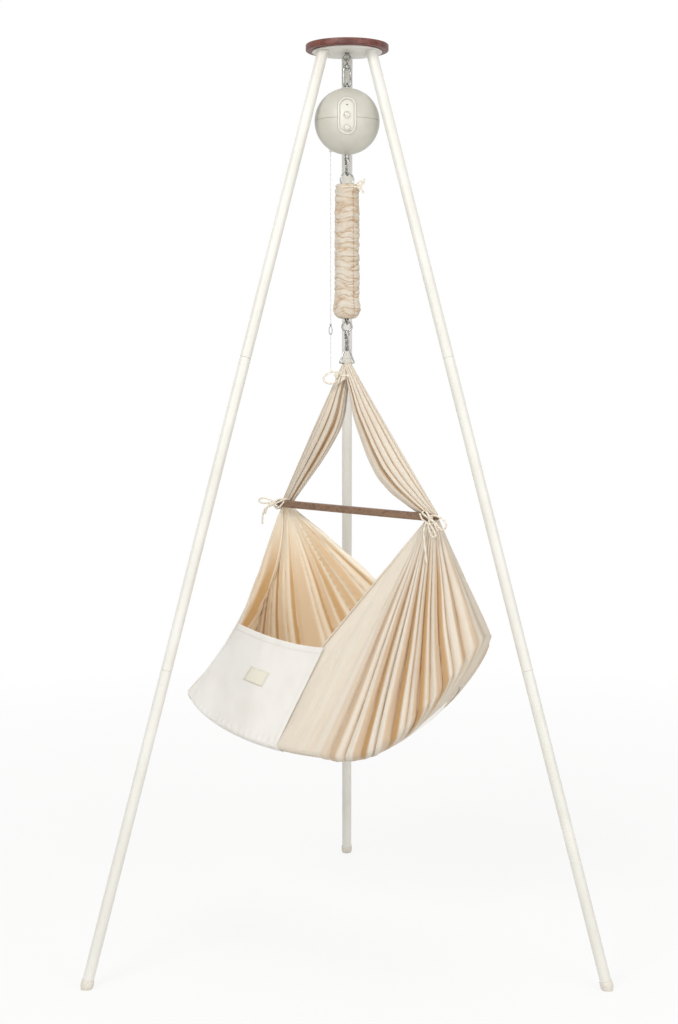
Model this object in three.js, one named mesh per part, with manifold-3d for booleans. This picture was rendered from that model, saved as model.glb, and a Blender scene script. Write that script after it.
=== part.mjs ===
import * as THREE from 'three';
import { mergeVertices } from 'three/addons/utils/BufferGeometryUtils.js';
import Module from 'manifold-3d';

const wasm = await Module();
wasm.setup();

// Hanging baby cradle on a tripod. Millimetres, +Z up, floor at z = 0.
// The pieces are laid out from the tripod's own axis, and the whole is centred on its floor box at the end.

// Fits and mesh fineness
const clearance = 0.3;
const linkGap = 0.5;
const overrun = 5;
const weld = 0.0005;
const sides = { tube: 16, turned: 24, small: 12, wire: 8, ring: 6, ball: 32, inside: 20 };

// Stand
const stand = {
  plateUnderside: 1975, plateThickness: 3, plateRadius: 76, plateHole: 3.4,
  capRadius: 90, capThickness: 17, capEdge: 2.5, capPocketRadius: 14, capPocketDepth: 12,
  footRadius: 631, crownRadius: 59.6,
  legRadius: 12, legWall: 1.5, spigotWall: 1.5, spigotLength: 50, sectionCount: 3, firstLegTurn: 90,
  capWall: 1.4, footBottom: 4.5, footHeight: 19, footEdge: 3,
};
const boltEye = {
  wire: 2, ring: 6.5, collarRadius: 5.5, collarThickness: 1.5, shankRadius: 3, shankRise: 12,
};
const nut = { flats: 13, height: 6.5 };

// Snap hooks. Each lies in its own XZ plane, with its gate towards +X.
const hookWire = 2.6;
const swivelGap = 0.4;
const topHook = { width: 20, collarRadius: 6, collarHeight: 9, pivotDrop: 3.6, tipRise: 6, height: 48.6 };
const liftHook = { width: 17, collarRadius: 6, collarHeight: 7, pivotDrop: 3.6, tipRise: 4, height: 38.2 };
const slingHook = { width: 18, collarRadius: 6, collarHeight: 8, pivotDrop: 3.6, tipRise: 4.5, height: 42 };
const hookShares = {
  tongueTop: 0.7, tongueOut: 0.85, tongueDrop: 0.5, rimIn: 0.85, rimLow: 0.2, rimHigh: 0.8, socket: 0.8,
};
const topEye = { wire: 2, ring: 5.5, stem: 2, button: 3.4, buttonHeight: 2.2 };
const bail = { wire: 2, ring: 10.5, stem: 2, button: 3.4, buttonHeight: 2.2 };
const gate = { radius: 2.1, head: 3.2, tongue: 1.2, pin: 1 };
const hookTurn = { lift: 110, sling: 110 };

// Motor ball
const ball = {
  hang: 80.1, radius: 71, wall: 3, lipHeight: 4, lipWall: 1.6, topHole: 9.2, bushHole: 8.3,
  boss: 14, bossRise: 2.2,
};
const loop = { wire: 2.5, ring: 6, puckDepth: 12, flange: 12, flangeThickness: 2 };
const panel = { width: 42, height: 82, rimWidth: 4, sink: 3.5, rimSink: 0.8, depth: 7.5, centreRise: 4 };
const button = { radius: 6.3, proud: 2.2, flange: 7, flangeThickness: 1.4, stem: 2, rises: [4.5, -21.5] };
const lamp = { radius: 1.8, rise: 27, proud: 1, length: 7 };
const lampShares = { crown: 0.6, crownDepth: 0.2 };
const board = { front: 50, thickness: 1.6, width: 26, height: 60, post: 2, postX: 10.5, postRise: 24 };
const chassis = { front: 7, thickness: 4, halfWidth: 24, tabHalf: 12, tabThickness: 4 };
const gearMotor = { rise: 9, boxRadius: 17, boxLength: 12, radius: 13, length: 28 };
const crank = { radius: 14, thickness: 4, front: 6.5, shaft: 2.5, throw: 4, pin: 2, pinLength: 7 };
const strap = { thickness: 1.5, width: 4 };
const rod = { radius: 5, headRise: 51, headRadius: 5, spigot: 2.4 };
const bush = { radius: 8, flange: 11, flangeThickness: 3, length: 17 };
const inlet = { radius: 6, drop: 25, length: 13, socket: 2.8, socketDepth: 9, pin: 0.9, flange: 8 };
const lineGuide = { offset: 36, radius: 3.5, bore: 1.7, drop: 4, flange: 5.5, flangeThickness: 1.5 };

// Spring, its cover and the line beside it
const springRing = { wire: 1.8, ring: 15.2 };
const spring = {
  wire: 2.2, radius: 15, length: 302.5, loop: 7, shoulder: 9,
  curls: 30, curlSteps: 8, wireSides: 5, loopSteps: 8,
};
const springShares = { hookAcross: 0.5, hookRise: 0.75, bridgeOut: [0.9, 0.65], bridgeRise: [0.35, 0.7] };
const cover = {
  radius: 26.5, wrinkle: 1.8, neck: 17.5, bore: 19, topDrop: 1, bottomRise: 13.5, frill: 2.5, rings: 34,
};
const coverShares = {
  neckRings: 2, hemRings: 1.5, hem: 0.35, frill: 0.1, ringTurn: 2.1, waveTurn: 1.3, waveLean: 0.7,
};
const line = { radius: 0.9, knot: 2.8, knotRise: 11, sides: 8 };
const lineSnap = { topDrop: 2.5, height: 26.4, width: 9, tail: 82.3 };
const lineSnapShares = { oval: 0.7, ovalRise: 0.38, barrel: 0.32, foot: 0.15 };

// Sling: the cradle's floor is a bent rounded rectangle, its walls rise to the two ends of the spreader bar
const slingTurn = -28;
const slingShift = 8;
const slingHang = 842.7;
const base = {
  headReach: 329, footReach: 392, halfWidth: 155, squareness: 3.2,
  headRise: 253, footRise: 85, headRoll: 0.2, pocketDrop: 26,
};
const risePower = 2.2;
const cloth = { thickness: 2.4, pleat: 8, columns: 48, wallRows: 5, pleats: 12, footDraw: 62, headBelly: 6 };
const drawShares = { edge: 0.35, span: 0.5 };
const bar = {
  length: 436, size: 16, edge: 3, rise: 516, tilt: 0.015, turn: -10, offsetX: 6, offsetY: 3,
  peg: 4.5, pegLength: 12,
};
const gather = { headInset: 28, footInset: 17, radius: 13, drop: 18, behind: 26 };
const hem = {
  panelLeft: [-224, -103, 257], panelRight: [-12, -116, 224], farLow: [40, 105, 324], panelSag: 9,
};
const turnShares = {
  hemNear: -0.291, nearFan: -0.235, farFan: 0.17, farLow: 0.25,
  footFan: 0.33, footNear: 0.52, panelLeft: 0.563,
};
const apex = { loopRadius: 5.5, halfWidth: 10.5, bundleDrop: 20.7, strapTopDrop: 18.7 };
const strapShape = {
  headFullness: 1, footFullness: 0.78, wide: 52, deep: 25, topWide: 14, topDeep: 7,
  pleats: 5, pleatShare: 0.09,
  clearShare: 0.13, skew: 0.8, power: 0.85, rings: 9, sides: 16,
};
const pad = { thickness: 34, reachShare: 0.93, headShare: 0.78 };
const triangle = { wire: 1.8, height: 32.7, halfWidth: 16.7, corner: 3.5, topHalf: 3, turn: 20 };
const panelCloth = { thickness: 1.6, columns: 8, rows: 4 };
const label = { share: 0.636, rise: 0.58, shareWidth: 0.033, riseHeight: 0.155, thickness: 0.8, columns: 3 };
const tie = { radius: 1.7, sides: 6, steps: 40, lean: 11, slack: 3 };
// The lashing of a bar end. Each row gives how far along the bar, how far out from its front, and how high.
const lashing = {
  tail: [[-6, 3, -52], [-8, 2, -30], [-6, 1, -14], [-2, 0, -4], [8, 0, 4]],
  bow: [
    [-15, 4, -4], [-24, 8, 6], [-36, 8, 7], [-40, 8, -2], [-30, 9, -7], [-20, 10, -3],
    [-8, 7, 3], [2, 6, 8], [8, 8, 16],
  ],
  corner: 13, cornerEase: 1.2, cornerRise: 0.4, front: 2, backInset: 4, backRise: 5, swell: 1, hitch: 14,
};
const lashingShares = { shoulder: 0.7, back: 0.75 };
const apexTie = {
  ring: 23, drop: 25.7, pitch: 4, fromTurn: 200, toTurn: 510,
  leadIn: [[-40, -10, -38], [-35, -11, -24], [-28, -11, -10]],
  leadOut: [
    [-30, 2, 2], [-37, -4, 6], [-49, -7, 11], [-58, -8, 6], [-57, -9, -6],
    [-45, -10, -9], [-35, -10, -3], [-29, -13, 6],
  ],
};
const coverTie = {
  ring: 27, drop: 6, pitch: 4, fromTurn: -30, toTurn: 280,
  leadIn: [[43, -18, 16], [35, -19, 8], [28, -17, 0]],
  leadOut: [[10, -32, 2], [22, -24, -3], [30, -23, -12], [32, -22, -20]],
};

// Materials
const paint = new THREE.Color(0.86, 0.84, 0.79);
const materials = {
  cream: () => new THREE.MeshStandardMaterial({ color: paint, roughness: 0.45, metalness: 0.1 }),
  walnut: () => new THREE.MeshStandardMaterial({ color: 0x4d2f22, roughness: 0.5, metalness: 0 }),
  rubber: () => new THREE.MeshStandardMaterial({ color: 0xcfcabd, roughness: 0.8, metalness: 0 }),
  steel: () => new THREE.MeshStandardMaterial({ color: 0x8d9095, roughness: 0.25, metalness: 1 }),
  shell: () => new THREE.MeshStandardMaterial({ color: 0xd3d3c9, roughness: 0.4, metalness: 0 }),
  knob: () => new THREE.MeshStandardMaterial({ color: 0xe2dfd3, roughness: 0.35, metalness: 0 }),
  lamp: () => new THREE.MeshStandardMaterial({ color: 0x26241f, roughness: 0.2, metalness: 0 }),
  board: () => new THREE.MeshStandardMaterial({ color: 0x2f5d3a, roughness: 0.6, metalness: 0 }),
  canvas: () => new THREE.MeshStandardMaterial({ color: 0xe8dcc5, roughness: 0.9, metalness: 0 }),
  whiteCloth: () => new THREE.MeshStandardMaterial({ color: 0xf3f0ec, roughness: 0.9, metalness: 0 }),
  cord: () => new THREE.MeshStandardMaterial({ color: 0xe4d9c2, roughness: 0.85, metalness: 0 }),
};

// Geometry helpers

function signedVolume(geometry) {
  const p = geometry.attributes.position;
  const index = geometry.index.array;
  const [a, b, c] = [new THREE.Vector3(), new THREE.Vector3(), new THREE.Vector3()];
  let volume = 0;
  for (let i = 0; i < index.length; i += 3) {
    a.fromBufferAttribute(p, index[i]);
    b.fromBufferAttribute(p, index[i + 1]);
    c.fromBufferAttribute(p, index[i + 2]);
    volume += a.dot(b.cross(c));
  }
  return volume;
}

function solidOf(geometry) {
  const bare = geometry.clone();
  bare.deleteAttribute('normal');
  bare.deleteAttribute('uv');
  const merged = mergeVertices(bare, weld);
  const index = new Uint32Array(merged.index.array);
  if (signedVolume(merged) < 0) {
    for (let i = 0; i < index.length; i += 3) [index[i], index[i + 1]] = [index[i + 1], index[i]];
  }
  const vertProperties = new Float32Array(merged.attributes.position.array);
  return new wasm.Manifold(new wasm.Mesh({ numProp: 3, vertProperties, triVerts: index }));
}

function geometryOf(solid) {
  const mesh = solid.getMesh();
  const geometry = new THREE.BufferGeometry();
  geometry.setAttribute('position', new THREE.BufferAttribute(new Float32Array(mesh.vertProperties), 3));
  geometry.setIndex(new THREE.BufferAttribute(new Uint32Array(mesh.triVerts), 1));
  geometry.computeVertexNormals();
  return geometry;
}

const joined = (...parts) => parts.reduce((all, part) => all.add(part));
const cutBy = (solid, ...tools) => tools.reduce((left, tool) => left.subtract(tool), solid);

// A closed profile of [radius, height] pairs turned about the Z axis.
function turned(profile, segments = sides.turned) {
  const points = profile.map(([r, z]) => new THREE.Vector2(r, z));
  const onAxis = points[0].x === 0 && points[points.length - 1].x === 0;
  if (!onAxis) points.push(points[0].clone());
  return new THREE.LatheGeometry(points, segments).rotateX(Math.PI / 2);
}

function cylinder(radius, from, to, segments = sides.small) {
  return new THREE.CylinderGeometry(radius, radius, to - from, segments)
    .rotateX(Math.PI / 2)
    .translate(0, 0, (from + to) / 2);
}

// A cylinder along Y, its axis at x, z.
function crossCylinder(radius, from, to, x, z, segments = sides.small) {
  return new THREE.CylinderGeometry(radius, radius, to - from, segments).translate(x, (from + to) / 2, z);
}

function block(x0, x1, y0, y1, z0, z1) {
  return new THREE.BoxGeometry(x1 - x0, y1 - y0, z1 - z0)
    .translate((x0 + x1) / 2, (y0 + y1) / 2, (z0 + z1) / 2);
}

function roundSection(radius, count) {
  const points = [];
  for (let i = 0; i < count; i++) {
    const turn = (2 * Math.PI * i) / count;
    points.push(new THREE.Vector2(radius * Math.cos(turn), radius * Math.sin(turn)));
  }
  return new THREE.Shape(points);
}

function tubeAlong(curve, radius, steps, count = sides.wire) {
  return new THREE.ExtrudeGeometry(roundSection(radius, count), { steps, extrudePath: curve });
}

// A full ring of round wire standing in the XZ plane.
function wireRing(ringRadius, wire, x, z, segments = sides.inside) {
  return new THREE.TorusGeometry(ringRadius, wire, sides.ring, segments)
    .rotateX(Math.PI / 2)
    .translate(x, 0, z);
}

// Rings of points, all of one count, joined side by side and closed at both ends.
function lofted(rings) {
  const count = rings[0].length;
  const positions = rings.flat().flatMap((p) => [p.x, p.y, p.z]);
  const index = [];
  for (let i = 0; i < rings.length - 1; i++) {
    for (let j = 0; j < count; j++) {
      const next = (j + 1) % count;
      const [a, b, c, d] = [i * count + j, i * count + next, (i + 1) * count + next, (i + 1) * count + j];
      index.push(a, b, c, a, c, d);
    }
  }
  [0, rings.length - 1].forEach((end) => {
    const centre = new THREE.Vector3();
    rings[end].forEach((p) => centre.add(p));
    centre.divideScalar(count);
    const middle = positions.length / 3;
    positions.push(centre.x, centre.y, centre.z);
    for (let j = 0; j < count; j++) {
      const [a, b] = [end * count + j, end * count + ((j + 1) % count)];
      if (end === 0) index.push(middle, b, a);
      else index.push(middle, a, b);
    }
  });
  return indexed(positions, index);
}

// Rings of points joined end to end, the last one to the first.
function closedLoft(rings) {
  const count = rings[0].length;
  const positions = rings.flat().flatMap((p) => [p.x, p.y, p.z]);
  const index = [];
  rings.forEach((ring, i) => {
    const after = ((i + 1) % rings.length) * count;
    for (let j = 0; j < count; j++) {
      const next = (j + 1) % count;
      index.push(i * count + j, i * count + next, after + next, i * count + j, after + next, after + j);
    }
  });
  return indexed(positions, index);
}

// A closed wire loop lying in the XZ plane.
function flatLoop(points, radius, count) {
  const across = new THREE.Vector3(0, 1, 0);
  return closedLoft(points.map((p, i) => {
    const before = points[(i + points.length - 1) % points.length];
    const after = points[(i + 1) % points.length];
    const aside = after.clone().sub(before).normalize().cross(across);
    const ring = [];
    for (let k = 0; k < count; k++) {
      const turn = (2 * Math.PI * k) / count;
      const sideways = aside.clone().multiplyScalar(radius * Math.cos(turn));
      ring.push(p.clone().add(sideways).addScaledVector(across, radius * Math.sin(turn)));
    }
    return ring;
  }));
}

function indexed(positions, index) {
  const geometry = new THREE.BufferGeometry();
  geometry.setAttribute('position', new THREE.Float32BufferAttribute(positions, 3));
  geometry.setIndex(index);
  return geometry;
}

// A sheet given by its middle surface, thickened to both sides and closed along its edges.
function thickened(positions, index, thickness) {
  const middle = indexed(positions, index);
  middle.computeVertexNormals();
  const normals = middle.attributes.normal.array;
  const count = positions.length / 3;
  const both = [];
  for (const side of [1, -1]) {
    for (let i = 0; i < positions.length; i++) both.push(positions[i] + (side * thickness * normals[i]) / 2);
  }
  const faces = [...index];
  for (let i = 0; i < index.length; i += 3) {
    faces.push(index[i] + count, index[i + 2] + count, index[i + 1] + count);
  }
  const edges = new Map();
  for (let i = 0; i < index.length; i += 3) {
    for (let k = 0; k < 3; k++) {
      const [a, b] = [index[i + k], index[i + ((k + 1) % 3)]];
      if (edges.has(`${b}_${a}`)) edges.delete(`${b}_${a}`);
      else edges.set(`${a}_${b}`, [a, b]);
    }
  }
  for (const [a, b] of edges.values()) faces.push(a, a + count, b + count, a, b + count, b);
  return indexed(both, faces);
}

const cradle = new THREE.Group();

function addPiece(parent, name, shape, material) {
  const geometry = shape.isBufferGeometry ? geometryOf(solidOf(shape)) : geometryOf(shape);
  const mesh = new THREE.Mesh(geometry, materials[material]());
  mesh.name = name;
  parent.add(mesh);
  return mesh;
}

function groupAt(parent, x, y, z, turnDegrees = 0) {
  const group = new THREE.Group();
  group.position.set(x, y, z);
  group.rotation.z = THREE.MathUtils.degToRad(turnDegrees);
  parent.add(group);
  return group;
}

// Stand: a walnut cap on a steel plate with three angled sockets, three jointed legs and their feet

const legLean = Math.atan2(stand.footRadius - stand.crownRadius, stand.plateUnderside);
const legLength = Math.hypot(stand.footRadius - stand.crownRadius, stand.plateUnderside);
const legTurns = { left: 210, right: 330, rear: stand.firstLegTurn };
const legBore = stand.legRadius - stand.legWall;
const spigotRadius = legBore - clearance;

// Puts a shape made along Z from the floor into a leg's place.
function ontoLeg(geometry, turnDegrees) {
  const turn = THREE.MathUtils.degToRad(turnDegrees);
  return geometry.rotateY(-legLean).translate(stand.footRadius, 0, 0).rotateZ(turn);
}

function legSection(number) {
  const low = (legLength * number) / stand.sectionCount;
  const high = (legLength * (number + 1)) / stand.sectionCount;
  const footTop = stand.footBottom + clearance + stand.legRadius * Math.tan(legLean);
  const bottom = number === 0 ? footTop : low + clearance;
  const top = number === stand.sectionCount - 1 ? high + stand.legRadius : high;
  if (number === 0) {
    return turned([
      [legBore, bottom], [stand.legRadius, bottom], [stand.legRadius, top], [legBore, top],
    ], sides.tube);
  }
  const inner = spigotRadius - stand.spigotWall;
  return turned([
    [inner, bottom - stand.spigotLength], [spigotRadius, bottom - stand.spigotLength],
    [spigotRadius, bottom], [stand.legRadius, bottom], [stand.legRadius, top],
    [legBore, top], [legBore, bottom + stand.legWall], [inner, bottom + stand.legWall],
  ], sides.tube);
}

function footCap() {
  const bore = stand.legRadius + clearance;
  const outside = bore + stand.capWall;
  const seat = stand.footBottom + stand.legRadius * Math.tan(legLean);
  const bottom = -outside * Math.tan(legLean) - overrun;
  return turned([
    [0, bottom], [outside - stand.footEdge, bottom], [outside - stand.footEdge / 4, stand.footEdge],
    [outside, stand.footEdge * 2], [outside, stand.footHeight], [bore, stand.footHeight],
    [bore, seat], [0, seat],
  ], sides.tube);
}

function buildStand(parent) {
  const under = stand.plateUnderside;
  const reach = stand.footRadius * 2;
  const sky = solidOf(block(-reach, reach, -reach, reach, under - clearance, under + reach));
  const floor = solidOf(block(-reach, reach, -reach, reach, -reach, 0));
  const names = ['lower', 'middle', 'upper'];

  let plate = solidOf(turned([
    [stand.plateHole, under], [stand.plateRadius, under],
    [stand.plateRadius, under + stand.plateThickness], [stand.plateHole, under + stand.plateThickness],
  ], sides.ball));
  const halfPlate = under + stand.plateThickness / 2;
  const abovePlate = solidOf(block(-reach, reach, -reach, reach, halfPlate, under + reach));
  Object.entries(legTurns).forEach(([side, turn]) => {
    const spigotLow = legLength - stand.spigotLength;
    const spigot = cylinder(spigotRadius, spigotLow, legLength + stand.legRadius, sides.tube);
    plate = plate.add(solidOf(ontoLeg(spigot, turn)).subtract(abovePlate));
    names.forEach((name, number) => {
      const section = solidOf(ontoLeg(legSection(number), turn));
      const last = number === names.length - 1;
      addPiece(parent, `${side}_leg_${name}`, last ? section.subtract(sky) : section, 'cream');
    });
    addPiece(parent, `${side}_foot`, solidOf(ontoLeg(footCap(), turn)).subtract(floor), 'rubber');
  });
  addPiece(parent, 'top_plate', plate, 'cream');

  const capBottom = under + stand.plateThickness + clearance;
  const capTop = under + stand.plateThickness + stand.capThickness;
  const pocketTop = capBottom + stand.capPocketDepth;
  addPiece(parent, 'wood_cap', turned([
    [0, pocketTop], [stand.capPocketRadius, pocketTop], [stand.capPocketRadius, capBottom],
    [stand.capRadius - stand.capEdge, capBottom], [stand.capRadius, capBottom + stand.capEdge],
    [stand.capRadius, capTop - stand.capEdge], [stand.capRadius - stand.capEdge, capTop], [0, capTop],
  ], sides.ball + sides.wire), 'walnut');
}

// Heights down the chain, each from the piece above it
const eyeRingZ = stand.plateUnderside - clearance - boltEye.collarThickness - boltEye.ring - boltEye.wire;
const eyePivotZ = eyeRingZ - boltEye.ring;
const topEyeZ = eyePivotZ + boltEye.wire + topEye.wire + linkGap - topEye.ring;
const topCollarZ = topEyeZ - topEye.ring - topEye.wire - clearance;
const topHookLowZ = topCollarZ - topHook.height + hookWire;
const loopPivotZ = topHookLowZ + hookWire + loop.wire + linkGap;
const ballZ = loopPivotZ - ball.hang;
const liftCollarZ = ballZ - ball.radius - crank.throw * 2 - clearance;
const liftHookLowZ = liftCollarZ - liftHook.height + hookWire;
const springRingZ = liftHookLowZ + hookWire + springRing.wire + linkGap - springRing.ring;
const springTopLoopZ = springRingZ - springRing.ring + springRing.wire + spring.wire + linkGap;
const springLowLoopZ = springTopLoopZ - spring.length;
const bailPivotZ = springLowLoopZ + spring.wire + bail.wire + linkGap;
const bailZ = bailPivotZ - bail.ring;
const slingCollarZ = bailZ - bail.ring - bail.wire - clearance;
const slingHookLowZ = slingCollarZ - slingHook.height + hookWire;
const triangleTopZ = slingHookLowZ + hookWire + triangle.wire + linkGap;
const trianglePivotZ = triangleTopZ - triangle.height;
const slingFloorZ = trianglePivotZ - slingHang;
const coverTopZ = springTopLoopZ - cover.topDrop;
const coverLowZ = springLowLoopZ + cover.bottomRise;
const snapTopZ = bailPivotZ - lineSnap.topDrop;
const snapLowZ = snapTopZ - lineSnap.height;

function buildEyeBolt(parent) {
  const { plateUnderside, plateThickness } = stand;
  const collarTop = plateUnderside - clearance;
  const shankTop = plateUnderside + plateThickness + boltEye.shankRise;
  addPiece(parent, 'eye_bolt', joined(
    solidOf(wireRing(boltEye.ring, boltEye.wire, 0, eyeRingZ)),
    solidOf(cylinder(boltEye.collarRadius, collarTop - boltEye.collarThickness, collarTop, sides.small)),
    solidOf(cylinder(boltEye.wire, eyeRingZ + boltEye.ring, collarTop - boltEye.collarThickness / 2)),
    solidOf(cylinder(boltEye.shankRadius, collarTop - boltEye.collarThickness / 2, shankTop)),
  ), 'steel');
  const nutLow = plateUnderside + plateThickness + clearance;
  const hexagon = cylinder(nut.flats / Math.sqrt(3), nutLow, nutLow + nut.height, 6);
  const bore = cylinder(boltEye.shankRadius + clearance, nutLow - overrun, nutLow + nut.height + overrun);
  addPiece(parent, 'eye_nut', cutBy(solidOf(hexagon), solidOf(bore)), 'steel');
}

// A closed eye with the stem and button that turn in a hook's collar. It stands in its own YZ plane.
function swivelEye(size, eyeZ, collarZ, collarHeight) {
  const stemLow = collarZ - collarHeight - swivelGap;
  return joined(
    solidOf(wireRing(size.ring, size.wire, 0, eyeZ).rotateZ(Math.PI / 2)),
    solidOf(cylinder(size.stem, stemLow - size.buttonHeight / 2, eyeZ - size.ring)),
    solidOf(cylinder(size.button, stemLow - size.buttonHeight, stemLow)),
  );
}

// The bent wire, the collar at its top and the tongue that carries the gate.
function snapHook(size, collarZ, bore) {
  const bend = size.width / 2 - hookWire;
  const bendZ = collarZ - size.height + hookWire + bend;
  const low = collarZ - size.collarHeight;
  const path = new THREE.CurvePath();
  const shoulder = new THREE.Vector3(-bend, 0, low - hookWire);
  path.add(new THREE.QuadraticBezierCurve3(
    new THREE.Vector3(-size.collarRadius + hookWire / 4, 0, low + size.collarHeight / 2),
    new THREE.Vector3(-bend, 0, low + hookWire / 2),
    shoulder,
  ));
  path.add(new THREE.LineCurve3(shoulder, new THREE.Vector3(-bend, 0, bendZ)));
  const reach = bend * (4 / 3);
  path.add(new THREE.CubicBezierCurve3(
    new THREE.Vector3(-bend, 0, bendZ), new THREE.Vector3(-bend, 0, bendZ - reach),
    new THREE.Vector3(bend, 0, bendZ - reach), new THREE.Vector3(bend, 0, bendZ),
  ));
  const tipZ = bendZ + size.tipRise;
  path.add(new THREE.LineCurve3(new THREE.Vector3(bend, 0, bendZ), new THREE.Vector3(bend, 0, tipZ)));
  const pivotZ = low - size.pivotDrop;
  const rimRadius = size.collarRadius * hookShares.rimIn;
  const tongue = new THREE.Shape();
  tongue.moveTo(0, low + size.collarHeight * hookShares.tongueTop);
  tongue.lineTo(size.collarRadius, low + size.collarHeight * hookShares.tongueTop);
  tongue.lineTo(bend + gate.head * hookShares.tongueOut, pivotZ + gate.head * hookShares.tongueDrop);
  tongue.absarc(bend, pivotZ, gate.head - clearance, Math.PI / 6, -Math.PI, true);
  tongue.lineTo(bend - gate.head + clearance, low);
  tongue.lineTo(0, low);
  const plate = { depth: gate.tongue * 2, bevelEnabled: false, curveSegments: sides.wire };
  const tonguePlate = new THREE.ExtrudeGeometry(tongue, plate);
  const tongueSolid = solidOf(tonguePlate.translate(0, 0, -gate.tongue).rotateX(Math.PI / 2));
  const body = joined(
    solidOf(tubeAlong(path, hookWire, sides.inside)),
    solidOf(turned([
      [0, low], [rimRadius, low], [size.collarRadius, low + size.collarHeight * hookShares.rimLow],
      [size.collarRadius, low + size.collarHeight * hookShares.rimHigh], [rimRadius, collarZ], [0, collarZ],
    ], sides.tube)),
    tongueSolid,
  );
  const pinHole = solidOf(crossCylinder(gate.pin + clearance, -overrun, overrun, bend, pivotZ));
  return cutBy(body, pinHole, ...bore);
}

function snapGate(size, collarZ) {
  const bend = size.width / 2 - hookWire;
  const bendZ = collarZ - size.height + hookWire + bend;
  const pivotZ = collarZ - size.collarHeight - size.pivotDrop;
  const tip = bendZ + size.tipRise + clearance;
  const body = joined(
    solidOf(crossCylinder(gate.head, -gate.head, gate.head, bend, pivotZ, sides.small)),
    solidOf(cylinder(gate.radius, tip, pivotZ, sides.wire).translate(bend, 0, 0)),
  );
  const slotHalf = gate.tongue + clearance;
  const slot = solidOf(crossCylinder(gate.head + clearance, -slotHalf, slotHalf, bend, pivotZ, sides.tube));
  const pin = solidOf(crossCylinder(gate.pin, -gate.head, gate.head, bend, pivotZ));
  const slotEnd = bend + gate.head;
  const above = solidOf(block(-size.width, slotEnd, -slotHalf, slotHalf, pivotZ, pivotZ + size.height));
  return cutBy(body, slot, above).add(pin);
}

function swivelBore(size, eye, collarZ) {
  const low = collarZ - size.collarHeight;
  return [
    solidOf(cylinder(eye.stem + clearance, low - overrun, collarZ + overrun)),
    solidOf(cylinder(eye.button + clearance, low - eye.buttonHeight - swivelGap * 2, low)),
  ];
}

function buildTopHook(parent) {
  addPiece(parent, 'top_swivel_eye', swivelEye(topEye, topEyeZ, topCollarZ, topHook.collarHeight), 'steel');
  const topBore = swivelBore(topHook, topEye, topCollarZ);
  addPiece(parent, 'top_snap_hook', snapHook(topHook, topCollarZ, topBore), 'steel');
  addPiece(parent, 'top_hook_gate', snapGate(topHook, topCollarZ), 'steel');
}

function buildLiftHook(parent) {
  const place = groupAt(parent, 0, 0, 0, hookTurn.lift);
  const socketLow = liftCollarZ - liftHook.collarHeight * hookShares.socket;
  const socket = solidOf(cylinder(rod.spigot + clearance, socketLow, liftCollarZ + overrun));
  addPiece(place, 'lift_snap_hook', snapHook(liftHook, liftCollarZ, [socket]), 'steel');
  addPiece(place, 'lift_hook_gate', snapGate(liftHook, liftCollarZ), 'steel');
}

function buildSlingHook(parent) {
  const eye = swivelEye(bail, bailZ, slingCollarZ, slingHook.collarHeight);
  addPiece(parent, 'swivel_bail', geometryOf(eye).rotateZ(Math.PI / 2), 'steel');
  const place = groupAt(parent, 0, 0, 0, hookTurn.sling);
  const bore = swivelBore(slingHook, bail, slingCollarZ);
  addPiece(place, 'sling_snap_hook', snapHook(slingHook, slingCollarZ, bore), 'steel');
  addPiece(place, 'sling_hook_gate', snapGate(slingHook, slingCollarZ), 'steel');
}

// Motor ball: two shells, the control panel let into them, and the lifting works inside

function ballSolid(radius, segments) {
  const globe = new THREE.SphereGeometry(radius, segments, segments / 2);
  return solidOf(globe.rotateX(Math.PI / 2).translate(0, 0, ballZ));
}

// A pill-shaped outline in the XZ plane run from front to back.
function pill(width, height, from, to) {
  const r = width / 2;
  const straight = height / 2 - r;
  const shape = new THREE.Shape();
  shape.absarc(0, straight, r, 0, Math.PI, false);
  shape.absarc(0, -straight, r, Math.PI, 2 * Math.PI, false);
  const cut = { depth: to - from, bevelEnabled: false, curveSegments: sides.small };
  return solidOf(new THREE.ExtrudeGeometry(shape, cut)
    .rotateX(Math.PI / 2).translate(0, to, ballZ + panel.centreRise));
}

function surfaceY(radius, rise) {
  return -Math.sqrt(radius ** 2 - rise ** 2);
}

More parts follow.
